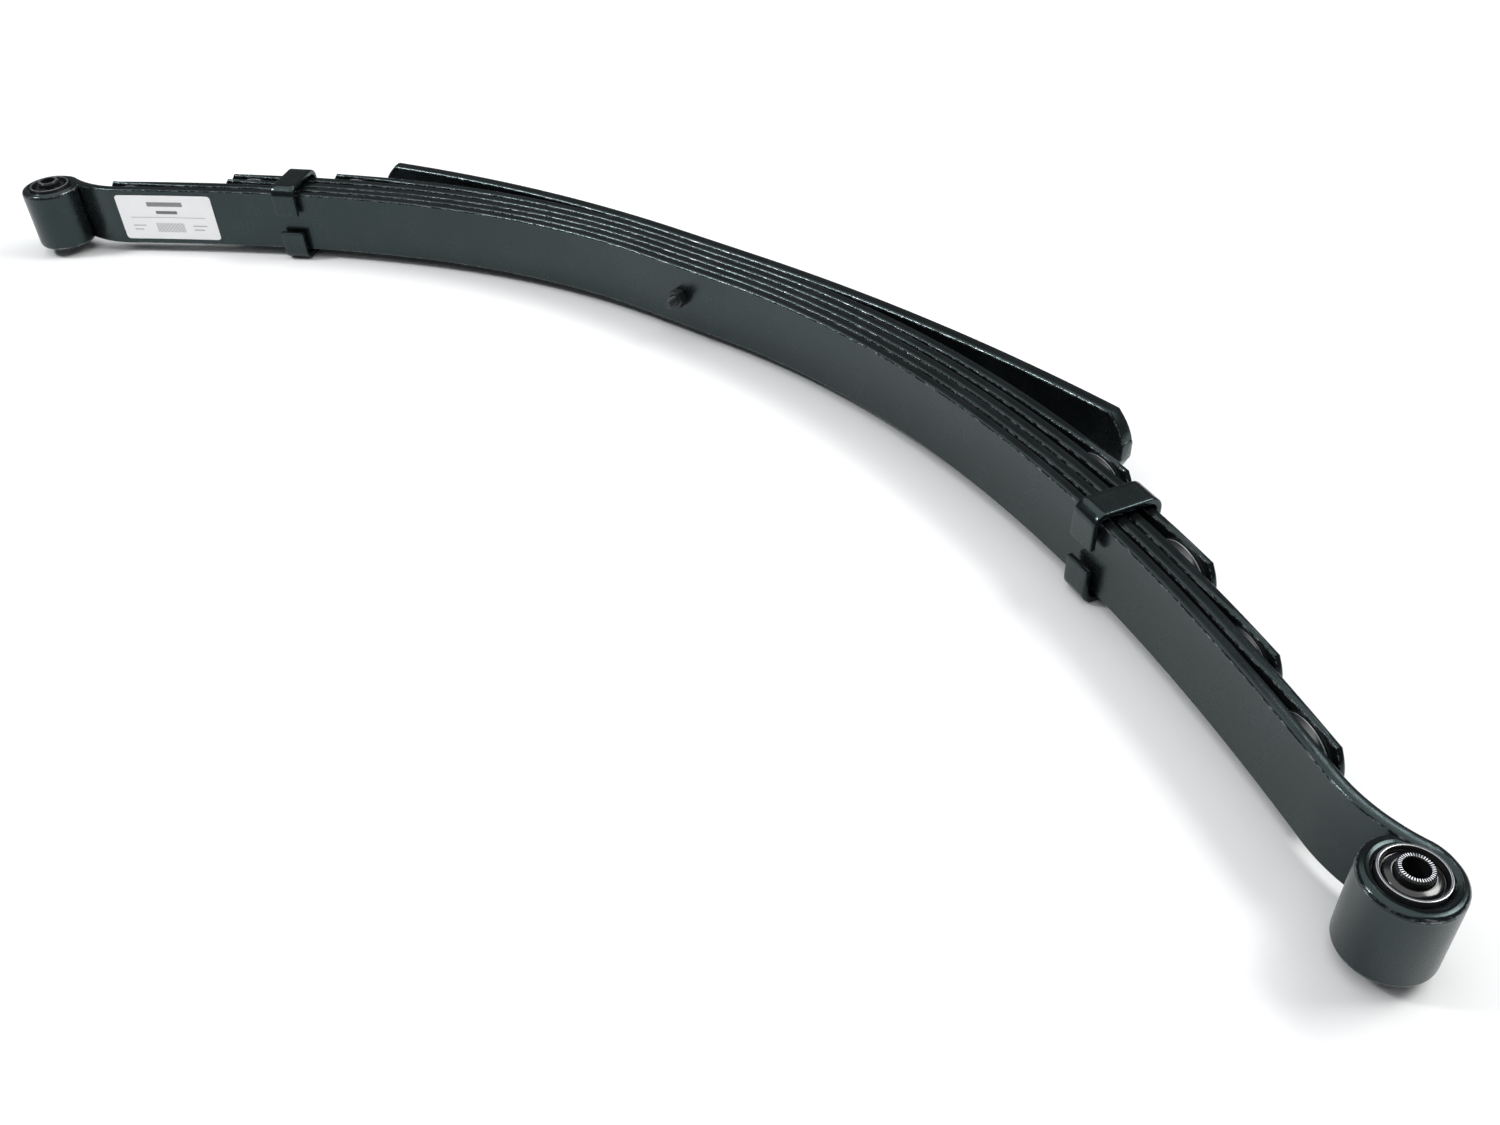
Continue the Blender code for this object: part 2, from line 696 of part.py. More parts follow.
def main():
    clear_scene()
    leaves = [build_main_leaf()]
    leaves += [build_short_leaf(number) for number in (2, 3, 4, 5)]
    leaves.append(build_overload_leaf())
    bolt_hole = bolt_hole_cutter()
    for leaf in leaves:
        cut(leaf, bolt_hole)
    build_center_bolt()
    build_center_nut()
    for side in (FRONT, REAR):
        rivet_hole = rivet_hole_cutter(side)
        cut(leaves[3], rivet_hole)
        cut(build_clip(side), rivet_hole)
        build_rivet(side)
        build_bushing(side)
        for number in (2, 3, 4, 5):
            build_pad(number, side)
    build_label()


main()
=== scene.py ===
"""Finished look of a multi-leaf suspension spring lying on its edge.

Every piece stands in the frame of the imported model: X runs along the axle seat
from the front arm to the rear arm, +Y is the convex side, Z is the leaves' width.
"""
import math

import bmesh
import bpy
import numpy as np
from bpy.props import FloatProperty, FloatVectorProperty, IntProperty, PointerProperty
from mathutils import Matrix, Vector


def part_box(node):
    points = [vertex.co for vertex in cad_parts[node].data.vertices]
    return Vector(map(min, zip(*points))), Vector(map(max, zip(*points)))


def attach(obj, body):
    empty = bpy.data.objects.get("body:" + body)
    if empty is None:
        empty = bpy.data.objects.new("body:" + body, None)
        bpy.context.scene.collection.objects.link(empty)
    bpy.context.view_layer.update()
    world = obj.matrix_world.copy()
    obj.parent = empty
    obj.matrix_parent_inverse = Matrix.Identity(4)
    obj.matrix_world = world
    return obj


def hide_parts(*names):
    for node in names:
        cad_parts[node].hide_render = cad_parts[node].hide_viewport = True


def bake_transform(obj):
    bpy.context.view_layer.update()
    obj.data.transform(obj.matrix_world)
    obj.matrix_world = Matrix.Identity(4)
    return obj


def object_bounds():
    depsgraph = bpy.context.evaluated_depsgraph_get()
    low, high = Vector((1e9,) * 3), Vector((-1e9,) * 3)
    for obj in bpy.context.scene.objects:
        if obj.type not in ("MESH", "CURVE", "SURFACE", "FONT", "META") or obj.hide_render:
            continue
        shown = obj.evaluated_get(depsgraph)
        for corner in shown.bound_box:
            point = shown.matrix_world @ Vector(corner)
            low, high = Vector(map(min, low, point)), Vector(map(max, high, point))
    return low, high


bl_info = {
    "name": "Leaf Spring Builder",
    "version": (1, 0, 0),
    "blender": (4, 5, 0),
    "location": "View3D > Sidebar > Leaf Spring",
    "description": "Builds a bushed multi-leaf suspension spring piece by piece",
    "category": "Object",
}

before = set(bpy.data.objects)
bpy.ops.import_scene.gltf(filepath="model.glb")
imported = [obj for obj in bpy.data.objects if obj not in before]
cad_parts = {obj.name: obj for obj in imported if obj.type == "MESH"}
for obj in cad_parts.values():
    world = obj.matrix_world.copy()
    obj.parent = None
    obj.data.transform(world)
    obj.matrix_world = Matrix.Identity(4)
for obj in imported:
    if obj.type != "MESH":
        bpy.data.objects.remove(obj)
CAD_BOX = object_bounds()

FRONT = -1
REAR = 1
SIDES = (FRONT, REAR)
SIDE_NAMES = {FRONT: "front", REAR: "rear"}
ARM_BODIES = {FRONT: "front_arm", REAR: "rear_arm"}
SLEEVE_BODIES = {FRONT: "front_sleeve", REAR: "rear_sleeve"}
LEAF_NAMES = {1: "main_leaf", 2: "second_leaf", 3: "third_leaf", 4: "fourth_leaf", 5: "fifth_leaf"}
SHORT_LEAVES = (2, 3, 4, 5)
CLIPPED_LEAF = 4
UP = Vector((0.0, 0.0, 1.0))
EAST = Vector((1.0, 0.0, 0.0))
NORTH = Vector((0.0, 1.0, 0.0))
EYE_AXES = (UP, EAST, NORTH)
BOLT_AXES = (NORTH, EAST, UP)
HEAD_LOW, HEAD_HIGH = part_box("center_bolt")
NUT_LOW, NUT_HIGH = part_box("center_nut")

# Fineness of the meshes: distances in metres, counts of steps and angles in degrees.
LEAF_STEP = 0.007
EYE_BEND_STEP = 0.004
STRAP_STEP = 0.004
LABEL_STEP = 0.006
CURVE_STEPS = 900
EYE_STEPS = 60
EYE_ROUNDING_STEPS = 6
TONGUE_STEP = 3.0
LEAF_CORNER_STEPS = 5
STRAP_CORNER_STEPS = 3
STRAP_BEND_STEPS = 12
LABEL_CORNER_STEPS = 8
DOME_STEPS = 10
THREAD_STEPS = 8
TOOTH_STEPS = 6
SMALL_SEGMENTS = 48
LARGE_SEGMENTS = 96
SHARP_ANGLE = 34.0
HOLE_SHARP_ANGLE = 30.0

# Small sizes in metres.
SPLIT = 0.030
OVERLOAD_START = 0.006
EYE_SHADE_LENGTH = 0.02
EYE_REACH = 0.06
EYE_REACH_STEP = 0.001
FACE_HOLD = 0.0008
TIP_ROUNDING = 0.0012
THINNEST_TONGUE = 0.0008
HOLE_OVERRUN = 0.010
PAD_BEVEL = 0.0005
STRAP_CORNER = 0.0011
STRAP_END_INSET = 0.0009
SHELL_LIP = 0.0004
FLOOR_GAP = 0.0002
RIVET_HOLE_UNDER = 0.002
RIVET_HOLE_OVER = 0.004
HEAD_GAP = 0.0003
TAIL_LENGTH = 0.0016
TAIL_DROP = 0.0013
LARGEST_CORNER_SHARE = 0.45
OVERLOAD_CORNER_SHARE = 1.25

# How far the paint is worn, from 0 to 1, stored on the meshes as their edge value.
CORNER_LEAST_WEAR = 0.35
CORNER_WEAR_START = 0.18
LEAF_SIDE_WEAR = 0.55
EYE_WEAR = 0.1
TONGUE_WEAR = 0.3
TIP_WEAR = 0.75
STRAP_OUTER_WEAR = 0.55
STRAP_INNER_WEAR = 0.3
STRAP_BEND_WEAR = 0.72
STRAP_FACE_WEAR = 0.62


# Properties
def length(name, description, default):
    """A size in metres that a user may change."""
    return FloatProperty(
        name=name, description=description, default=default, min=0.0, unit="LENGTH", precision=5
    )


def lengths(name, description, defaults):
    """Sizes in metres of the second to the fifth leaf."""
    return FloatVectorProperty(
        name=name, description=description, default=defaults, size=4, unit="LENGTH", precision=5
    )


def number(name, description, default):
    """A plain number that a user may change."""
    return FloatProperty(name=name, description=description, default=default, precision=4)


def angle(name, description, degrees):
    """An angle that a user may change."""
    return FloatProperty(
        name=name, description=description, default=math.radians(degrees), subtype="ANGLE"
    )


def colour(name, description, default):
    """A colour that a user may change."""
    return FloatVectorProperty(
        name=name, description=description, default=default, size=3, min=0, max=1, subtype="COLOR"
    )


class LeafStock(bpy.types.PropertyGroup):
    """Bar sizes shared by the leaves."""

    width: length("Leaf width", "Width of every leaf", 0.0635)
    thickness: length("Leaf thickness", "Thickness of the five graduated leaves", 0.0095)
    overload: length("Overload thickness", "Thickness of the overload leaf", 0.0127)
    gap: length("Gap", "Clearance between leaves that touch", 0.0003)
    clamped: length("Clamped half length", "Flat length either side of the bolt", 0.050)
    edge: length("Edge radius", "Rounding of the rolled edges", 0.0021)
    crown: length("Edge crown", "How far the edges bulge", 0.0004)
    tip: length("Tip thickness", "Thickness left at a graduated leaf's tip", 0.0040)
    taper: length("Tip taper", "Length over which a tip is thinned", 0.100)
    trim_length: length("Tip trim length", "Length of a tip's cut corner", 0.008)
    trim_width: length("Tip trim width", "Width of a tip's cut corner", 0.0165)
    overload_trim_length: length("Overload trim length", "Length of its cut corner", 0.016)
    overload_trim_width: length("Overload trim width", "Width of its cut corner", 0.0225)
    lifts: lengths("Tip lifts", "How far each tip stands off", (0.0025, 0.0029, 0.0065, 0.0080))


class FrontArm(bpy.types.PropertyGroup):
    """Shape of the short arm."""

    reach: length("Arm length", "Length of the main leaf from bolt to eye", 0.732)
    root: number("Root curvature", "Curvature next to the clamp, per metre", 1.60)
    end: number("End curvature", "Curvature next to the eye, per metre", 0.10)
    eye_bend: angle("Eye bend", "Turn back just before the eye", 40.4)
    tips: lengths("Tips", "Distance from bolt to each leaf's tip", (0.6844, 0.5565, 0.5550, 0.4446))
    overload: length("Overload length", "Distance from bolt to the overload leaf's tip", 0.428)
    overload_bend: number("Overload curvature", "Its curvature, per metre", 0.74)
    flex_start: length("Flex start", "Where the arm starts to bend under load", 0.169)
    flex_end: length("Flex end", "Where the arm has turned fully", 0.383)


class RearArm(bpy.types.PropertyGroup):
    """Shape of the long arm."""

    reach: length("Arm length", "Length of the main leaf from bolt to eye", 0.837)
    root: number("Root curvature", "Curvature next to the clamp, per metre", 1.36)
    end: number("End curvature", "Curvature next to the eye, per metre", 0.33)
    eye_bend: angle("Eye bend", "Turn back just before the eye", 35.7)
    tips: lengths("Tips", "Distance from bolt to each leaf's tip", (0.763, 0.685, 0.595, 0.486))
    overload: length("Overload length", "Distance from bolt to the overload leaf's tip", 0.459)
    overload_bend: number("Overload curvature", "Its curvature, per metre", 0.56)
    flex_start: length("Flex start", "Where the arm starts to bend under load", 0.200)
    flex_end: length("Flex end", "Where the arm has turned fully", 0.424)


class EyeSizes(bpy.types.PropertyGroup):
    """The rolled eyes and the bushings in them."""

    bore: length("Eye inner radius", "Inside radius of the rolled eye", 0.0198)
    bend_length: length("Eye bend length", "Length of the turn back before the eye", 0.070)
    wrap: angle("Eye wrap", "How far round the leaf is rolled at full thickness", 312.0)
    tongue: angle("Tongue end", "How far round the thinning end reaches", 345.0)
    edge: length("Eye edge radius", "Rounding of the rolled eye's ends", 0.0042)
    shell_wall: length("Shell wall", "Wall of the bushing's outer shell", 0.0016)
    shell_proud: length("Shell proud", "Shell end above the leaf's edge", 0.0018)
    rubber_proud: length("Rubber proud", "Crest of the rubber above the leaf's edge", 0.0005)
    groove: length("Rubber groove", "Depth of the groove round the rubber", 0.0034)
    sleeve_bore: length("Sleeve bore radius", "Radius of the bolt hole", 0.0073)
    sleeve_wall: length("Sleeve wall", "Wall of the inner sleeve", 0.0031)
    sleeve_proud: length("Sleeve proud", "Sleeve end above the leaf's edge", 0.0058)
    tooth: length("Tooth height", "Height of the sleeve's gripping teeth", 0.0007)
    teeth: IntProperty(name="Teeth", description="Teeth on a sleeve's end", default=40, min=8)


class ClipSizes(bpy.types.PropertyGroup):
    """The rebound clips, their rivets and the wear pads."""

    beyond: length("Clip place", "Middle of a clip past the fifth leaf's tip", 0.024)
    width: length("Clip width", "Width of the strap", 0.025)
    thickness: length("Clip thickness", "Thickness of the strap", 0.0050)
    edge_clearance: length("Edge clearance", "Space over the leaves' edges", 0.0042)
    face_clearance: length("Face clearance", "Space over the main leaf's face", 0.0035)
    bend: length("Bend radius", "Radius of the strap's bends at mid wall", 0.0085)
    tab_gap: length("Tab gap", "Gap between the two folded tabs", 0.019)
    rivet: length("Rivet radius", "Radius of the rivet's shank", 0.0045)
    head: length("Rivet head radius", "Radius of the rivet's head", 0.0080)
    head_height: length("Rivet head height", "Height of the rivet's head", 0.0042)
    pad_margin: length("Pad edge margin", "Leaf width left either side of a pad", 0.003)
    pad_setback: length("Pad tip margin", "Leaf length left beyond a pad", 0.004)


class BoltSizes(bpy.types.PropertyGroup):
    """Centre bolt and nut."""

    radius: length("Bolt radius", "Radius over the thread", 0.00475)
    pitch: length("Thread pitch", "Distance from thread to thread", 0.00159)
    thread: length("Thread depth", "Depth of the thread", 0.00072)
    flats: length("Nut across flats", "Width of the nut over two flats", 0.0160)


class LabelSizes(bpy.types.PropertyGroup):
    """Plain label on the main leaf."""

    length: length("Label length", "Length along the leaf", 0.108)
    height: length("Label height", "Height across the leaf", 0.050)
    corner: length("Label corner", "Radius of its corners", 0.004)
    setback: length("Label setback", "Distance from the eye", 0.067)
    film: length("Film thickness", "Thickness of the film", 0.0003)


class PaintColours(bpy.types.PropertyGroup):
    """Colours of the finishes."""

    paint: colour("Paint", "Satin black paint", (0.0045, 0.0054, 0.0058))
    dust: colour("Thin paint", "Greyer paint where the coat is thin", (0.0110, 0.0135, 0.0145))
    wear: colour("Worn edge", "Steel showing at rubbed edges", (0.27, 0.28, 0.29))
    rubber: colour("Rubber", "Moulded rubber", (0.0042, 0.0042, 0.0048))
    steel: colour("Sleeve steel", "Dull sleeve steel", (0.42, 0.43, 0.45))
    pad: colour("Pad", "Dark layer of a wear pad", (0.012, 0.013, 0.015))
    pad_rim: colour("Pad rim", "Light layer of a wear pad", (0.42, 0.44, 0.45))
    film: colour("Label film", "White film", (0.95, 0.952, 0.955))
    ink: colour("Label ink", "Dark grey bars", (0.022, 0.022, 0.025))
    floor: colour("Floor", "Pale floor", (0.93, 0.935, 0.94))


class StageSettings(bpy.types.PropertyGroup):
    """Camera and light."""

    camera_x: number("Camera X", "Camera place along X, in metres", 0.78876)
    camera_y: number("Camera Y", "Camera place along Y, in metres", -0.92380)
    camera_z: number("Camera Z", "Camera place along Z, in metres", 0.63325)
    turn: angle("Camera turn", "Heading of the camera round Z", 39.7867)
    tilt: angle("Camera tilt", "How far the camera looks down", 39.6074)
    roll: angle("Camera roll", "Lean of the camera", -2.6074)
    lens: number("Lens", "Focal length in millimetres", 32.825)
    key: number("Key light", "Power of the main light behind the spring, in watts", 78.0)
    back: number("Back light", "Power of the light beyond the long arm, in watts", 24.0)
    edge: number("Edge light", "Power of the small light that draws the edges, in watts", 44.0)
    top: number("Top light", "Power of the overhead light, in watts", 105.0)
    sky: number("Sky", "Brightness of the surroundings", 0.12)
    floor: length("Floor half size", "Distance from the middle to the floor's sides", 7.0)


class SpringSettings(bpy.types.PropertyGroup):
    """Everything that shapes the spring."""

    stock: PointerProperty(type=LeafStock)
    front: PointerProperty(type=FrontArm)
    rear: PointerProperty(type=RearArm)
    eye: PointerProperty(type=EyeSizes)
    clip: PointerProperty(type=ClipSizes)
    bolt: PointerProperty(type=BoltSizes)
    label: PointerProperty(type=LabelSizes)
    colours: PointerProperty(type=PaintColours)
    stage: PointerProperty(type=StageSettings)


# Finishes
def arithmetic(operation, reflected=False):
    """A Python operator that adds a Math node."""

    def apply(value, other):
        first, second = (other, value) if reflected else (value, other)
        return value.finish.node("ShaderNodeMath", {"operation": operation}, {0: first, 1: second})

    return apply


class Value:
    """A number that varies over a surface; arithmetic on it adds Math nodes."""

    def __init__(self, finish, socket):
        self.finish = finish
        self.socket = socket

    __add__ = arithmetic("ADD")
    __radd__ = arithmetic("ADD", reflected=True)
    __sub__ = arithmetic("SUBTRACT")
    __rsub__ = arithmetic("SUBTRACT", reflected=True)
    __mul__ = arithmetic("MULTIPLY")
    __rmul__ = arithmetic("MULTIPLY", reflected=True)
    __gt__ = arithmetic("GREATER_THAN")
    __lt__ = arithmetic("LESS_THAN")

    def part(self):
        """The fractional part."""
        return self.finish.node("ShaderNodeMath", {"operation": "FRACT"}, {0: self})

    def rise(self, low, high):
        """0 below low, 1 above high and a smooth step between."""
        return self.finish.node(
            "ShaderNodeMapRange",
            {"interpolation_type": "SMOOTHSTEP"},
            {"Value": self, "From Min": low, "From Max": high},
        )


class Finish:
    """A procedural material on one Principled shader."""

    def __init__(self, name, **constants):
        self.material = bpy.data.materials.new(name)
        self.material.use_nodes = True
        self.tree = self.material.node_tree
        self.shader = self.tree.nodes["Principled BSDF"]
        for socket, value in constants.items():
            self.shader.inputs[socket.replace("_", " ")].default_value = value

    def node(self, kind, settings=None, inputs=None, output=0):
        """Add one node: its settings first, then values or links of its sockets."""
        made = self.tree.nodes.new(kind)
        for key, value in (settings or {}).items():
            setattr(made, key, value)
        for key, value in (inputs or {}).items():
            socket = made.inputs[key]
            if isinstance(value, Value):
                self.tree.links.new(value.socket, socket)
            else:
                socket.default_value = value
        return Value(self, made.outputs[output])

    def feed(self, socket, value):
        """Link a varying value to the shader."""
        self.tree.links.new(value.socket, self.shader.inputs[socket])

    def attribute(self, name, output="Fac"):
        """A value stored on the mesh."""
        return self.node("ShaderNodeAttribute", {"attribute_name": name}, output=output)

    def place(self, scale=(1.0, 1.0, 1.0)):
        """The point on the flat, unbent piece, stretched by scale."""
        vector = self.attribute("place", "Vector")
        return self.node("ShaderNodeVectorMath", {"operation": "MULTIPLY"}, {0: vector, 1: scale})

    def here(self):
        """The point in the object's own space."""
        return self.node("ShaderNodeTexCoord", output="Object")

    def noise(self, vector, scale, detail, roughness):
        """Fractal noise from 0 to 1."""
        inputs = {"Vector": vector, "Scale": scale, "Detail": detail, "Roughness": roughness}
        return self.node("ShaderNodeTexNoise", {}, inputs, "Fac")

    def mix(self, factor, first, second):
        """Mix two colours, on the Mix node's colour sockets 6 and 7 to output 2."""
        inputs = {"Factor": factor, 6: first, 7: second}
        return self.node("ShaderNodeMix", {"data_type": "RGBA"}, inputs, 2)

    def bump(self, height, strength, distance):
        """Feed a height to the shader's normal."""
        inputs = {"Height": height, "Strength": strength, "Distance": distance}
        self.feed("Normal", self.node("ShaderNodeBump", {}, inputs, "Normal"))


def solid(colour_value, share=1.0):
    """A colour with full alpha, its brightness scaled by share."""
    return (*(share * channel for channel in colour_value), 1.0)


PAINT_SHEEN = (0.70, 0.96, 0.97, 1.0)
# Each paint's roughness, share of the edges rubbed bare and stretch of its rolling marks.
PAINTS = {
    "leaf_paint": (0.19, 0.45, 5.0),
    "strap_paint": (0.20, 0.38, 2.0),
    "bolt_paint": (0.20, 0.22, 1.0),
}


def steel_paint(name, colours):
    """Satin black paint on scaled steel, greyer in patches and rubbed through at edges."""
    made_before = bpy.data.materials.get(name)
    if made_before:
        return made_before
    gloss, wear_share, streak = PAINTS[name]
    finish = Finish(name, IOR=1.5, Specular_Tint=PAINT_SHEEN)
    place = finish.place()
    patches = finish.noise(place, scale=26.0, detail=4.0, roughness=0.55)
    grain = finish.noise(place, scale=420.0, detail=3.0, roughness=0.6)
    along_rolling = finish.place((1.0, streak, streak))
    rolled = finish.noise(along_rolling, scale=95.0, detail=4.0, roughness=0.65)
    along_leaf = finish.place((1.0, 3.0, 3.0))
    chips = finish.noise(along_leaf, scale=190.0, detail=3.0, roughness=0.7)
    edge = finish.attribute("edge")
    thin = patches.rise(0.42, 0.72) * 0.55 + grain.rise(0.55, 0.8) * 0.18
    base = finish.mix(thin, solid(colours.paint), solid(colours.dust))
    rubbed = (edge * (chips * 0.75 + rolled * 0.45)).rise(1.0 - wear_share, 1.14 - wear_share)
    scaled = edge.rise(0.15, 0.8)
    finish.feed("Base Color", finish.mix(rubbed * 0.8, base, solid(colours.wear)))
    finish.feed("Metallic", rubbed * 0.55)
    finish.feed("Roughness", gloss + patches * 0.10 + grain * 0.05 - scaled * 0.13)
    height = grain * 0.22 + patches * 0.25 + scaled * rolled * 1.5
    finish.bump(height, strength=0.42, distance=0.00035)
    return finish.material


def rubber_finish(colours):
    """Moulded rubber with a faint sheen and fine pitting."""
    finish = Finish("bushing_rubber_finish", IOR=1.6)
    place = finish.here()
    grain = finish.noise(place, scale=900.0, detail=3.0, roughness=0.6)
    bloom = finish.noise(place, scale=70.0, detail=3.0, roughness=0.5)
    black = solid(colours.rubber)
    grey = solid(colours.rubber, 3.2)
    finish.feed("Base Color", finish.mix(bloom.rise(0.5, 0.8), black, grey))
    finish.feed("Roughness", 0.10 + bloom * 0.10 + grain * 0.03)
    finish.bump(grain * 0.4 + bloom * 0.6, strength=0.15, distance=0.0003)
    return finish.material


def bare_steel(name, colours, share, rough):
    """Black-filmed steel that shines where its edges and teeth are rubbed."""
    finish = Finish(name)
    place = finish.here()
    film = finish.noise(place, scale=160.0, detail=4.0, roughness=0.6)
    grain = finish.noise(place, scale=1100.0, detail=2.0, roughness=0.6)
    bright = finish.attribute("edge").rise(0.45, 0.75) * (1.0 - film.rise(0.52, 0.74) * 0.7)
    dark = solid(colours.steel, share)
    finish.feed("Base Color", finish.mix(bright, dark, solid(colours.steel)))
    finish.feed("Metallic", bright * 0.9)
    finish.feed("Roughness", rough + film * 0.16 + grain * 0.05)
    finish.bump(grain * 0.5 + film * 0.5, strength=0.3, distance=0.0002)
    return finish.material


def pad_finish(colours):
    """Two-layer wear pad: dark on the near side, light next to the leaf it serves."""
    finish = Finish("wear_pad_finish", IOR=1.48)
    layer = finish.attribute("edge").rise(0.80, 0.86)
    scuff = finish.noise(finish.here(), scale=240.0, detail=4.0, roughness=0.6)
    scuffed = solid(colours.pad_rim, 0.82)
    light = finish.mix(scuff.rise(0.4, 0.7), solid(colours.pad_rim), scuffed)
    finish.feed("Base Color", finish.mix(layer, solid(colours.pad), light))
    finish.feed("Roughness", 0.34 + scuff * 0.2)
    finish.bump(scuff, strength=0.2, distance=0.0003)
    return finish.material


# Bars on the label: left, right, low, high in metres from its corner, and darkness.
LABEL_BARS = (
    (0.034, 0.074, 0.0375, 0.0425, 0.75),
    (0.042, 0.066, 0.0290, 0.0325, 0.85),
    (0.012, 0.096, 0.0245, 0.0253, 0.5),
    (0.012, 0.026, 0.0150, 0.0162, 0.55),
    (0.012, 0.022, 0.0105, 0.0117, 0.55),
    (0.080, 0.096, 0.0150, 0.0162, 0.55),
    (0.080, 0.092, 0.0105, 0.0117, 0.55),
)
STRIPED_BLOCK = (0.038, 0.070, 0.0080, 0.0185)
STRIPES_PER_METRE = 610.0


def label_finish(colours):
    """White film with plain grey bars and rules."""
    finish = Finish("label_finish", IOR=1.45)
    place = finish.place()
    across = finish.node("ShaderNodeSeparateXYZ", {}, {"Vector": place}, "X")
    rise = finish.node("ShaderNodeSeparateXYZ", {}, {"Vector": place}, "Y")

    def block(left, right, low, high):
        return (across > left) * (across < right) * (rise > low) * (rise < high)

    ink = block(*STRIPED_BLOCK) * ((across * STRIPES_PER_METRE).part() > 0.45) * 0.6
    for *sides, darkness in LABEL_BARS:
        ink = ink + block(*sides) * darkness
    fibre = finish.noise(place, scale=900.0, detail=3.0, roughness=0.6)
    cloud = finish.noise(place, scale=40.0, detail=2.0, roughness=0.5)
    shade = solid(colours.film, 0.97)
    film = finish.mix(cloud.rise(0.35, 0.75), solid(colours.film), shade)
    finish.feed("Base Color", finish.mix(ink, film, solid(colours.ink)))
    finish.feed("Roughness", 0.36 + fibre * 0.14)
    finish.bump(fibre * 0.5 + cloud * 0.5, strength=0.15, distance=0.0003)
    return finish.material


def floor_finish(colours):
    """Pale matt floor."""
    finish = Finish("floor_finish", Roughness=0.62)
    cloud = finish.noise(finish.here(), scale=1.4, detail=2.0, roughness=0.5)
    shade = solid(colours.floor, 0.985)
    finish.feed("Base Color", finish.mix(cloud, solid(colours.floor), shade))
    return finish.material


# Meshes
def skin(name, rings, material, sharp=SHARP_ANGLE, around=False, middles=()):
    """Make a closed object from equal rings of (point, place, edge), joined in order.

    Around joins the last ring to the first. Middles closes each end with triangles
    to a point, and without either each end gets one face.
    """
    count = len(rings[0])
    starts = list(range(0, count * len(rings), count))
    entries = [entry for ring in rings for entry in ring] + list(middles)
    nexts = starts[1:] + (starts[:1] if around else [])
    faces = []
    for first, second in zip(starts, nexts):
        for index in range(count):
            after = (index + 1) % count
            faces.append((first + index, first + after, second + after, second + index))
    ends = (range(count)[::-1], range(starts[-1], starts[-1] + count))
    if middles:
        for end, middle in zip(ends, (len(entries) - 2, len(entries) - 1)):
            faces += [(end[index], end[(index + 1) % count], middle) for index in range(count)]
    elif not around:
        faces += [tuple(end) for end in ends]
    points, places, edges = zip(*entries)
    mesh = bpy.data.meshes.new(name)
    mesh.from_pydata([tuple(point) for point in points], [], faces)
    stored = mesh.attributes.new("place", "FLOAT_VECTOR", "POINT")
    stored.data.foreach_set("vector", np.array(places, np.float32).ravel())
    stored = mesh.attributes.new("edge", "FLOAT", "POINT")
    stored.data.foreach_set("value", np.array(edges, np.float32))
    turn_out(mesh)
    mesh.materials.append(material)
    mesh.shade_smooth()
    mesh.set_sharp_from_angle(angle=math.radians(sharp))
    made = bpy.data.objects.new(name, mesh)
    bpy.context.scene.collection.objects.link(made)
    return made


def turn_out(mesh):
    """Turn a closed mesh's faces outward."""
    solid_mesh = bmesh.new()
    solid_mesh.from_mesh(mesh)
    volume = solid_mesh.calc_volume(signed=True)
    solid_mesh.free()
    if volume < 0:
        mesh.flip_normals()


def spaced(start, end, pitch):
    """Evenly spaced values from start to end, both included."""
    count = max(1, round(abs(end - start) / pitch))
    return [start + (end - start) * index / count for index in range(count + 1)]


def limited(value):
    """A share kept between 0 and 1."""
    return min(max(value, 0.0), 1.0)


def turned(section, segments, centre, axes, radius_last=True):
    """Columns of a round piece; section gives (radius, height, edge) for each step.

    A point's unbent place is its way round, its height and its radius, or with
    radius_last off its way round, its radius and its height.
    """
    axis, across, other = axes
    columns = []
    for step in range(segments):
        turn = 2 * math.pi * step / segments
        out = across * math.cos(turn) + other * math.sin(turn)
        column = []
        for radius, height, edge in section(step):
            point = centre + out * radius + axis * height
            rest = (height, radius) if radius_last else (radius, height)
            column.append((point, (radius * turn, *rest), edge))
        columns.append(column)
    return columns


def both_ends(upper):
    """Mirror the upper end of a profile to make a whole section."""
    return upper + [(radius, -height, edge) for radius, height, edge in upper[::-1]]


def bore(piece, centre, axis, radius, low, high):
    """Cut a round hole through a piece, from one distance along the axis to another."""
    axes = (axis, UP.cross(axis).normalized(), UP)
    ends = ((radius, low, 0.0), (radius, high, 0.0))
    columns = turned(lambda step: ends, SMALL_SEGMENTS, centre, axes)
    cutter = skin("hole_cutter", list(zip(*columns)), piece.data.materials[0])
    hole = piece.modifiers.new("hole", "BOOLEAN")
    hole.operation = "DIFFERENCE"
    hole.solver = "EXACT"
    hole.object = cutter
    bpy.context.view_layer.update()
    ready = piece.evaluated_get(bpy.context.evaluated_depsgraph_get())
    cut = bpy.data.meshes.new_from_object(ready)
    piece.modifiers.clear()
    piece.data = cut
    cut.shade_smooth()
    cut.set_sharp_from_angle(angle=math.radians(HOLE_SHARP_ANGLE))
    bpy.data.objects.remove(cutter, do_unlink=True)


def finish_piece(piece, body, slot, *nodes):
    """Let a rigid piece ride on a body and hide its CAD nodes."""
    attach(piece, body)
    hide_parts(*nodes)


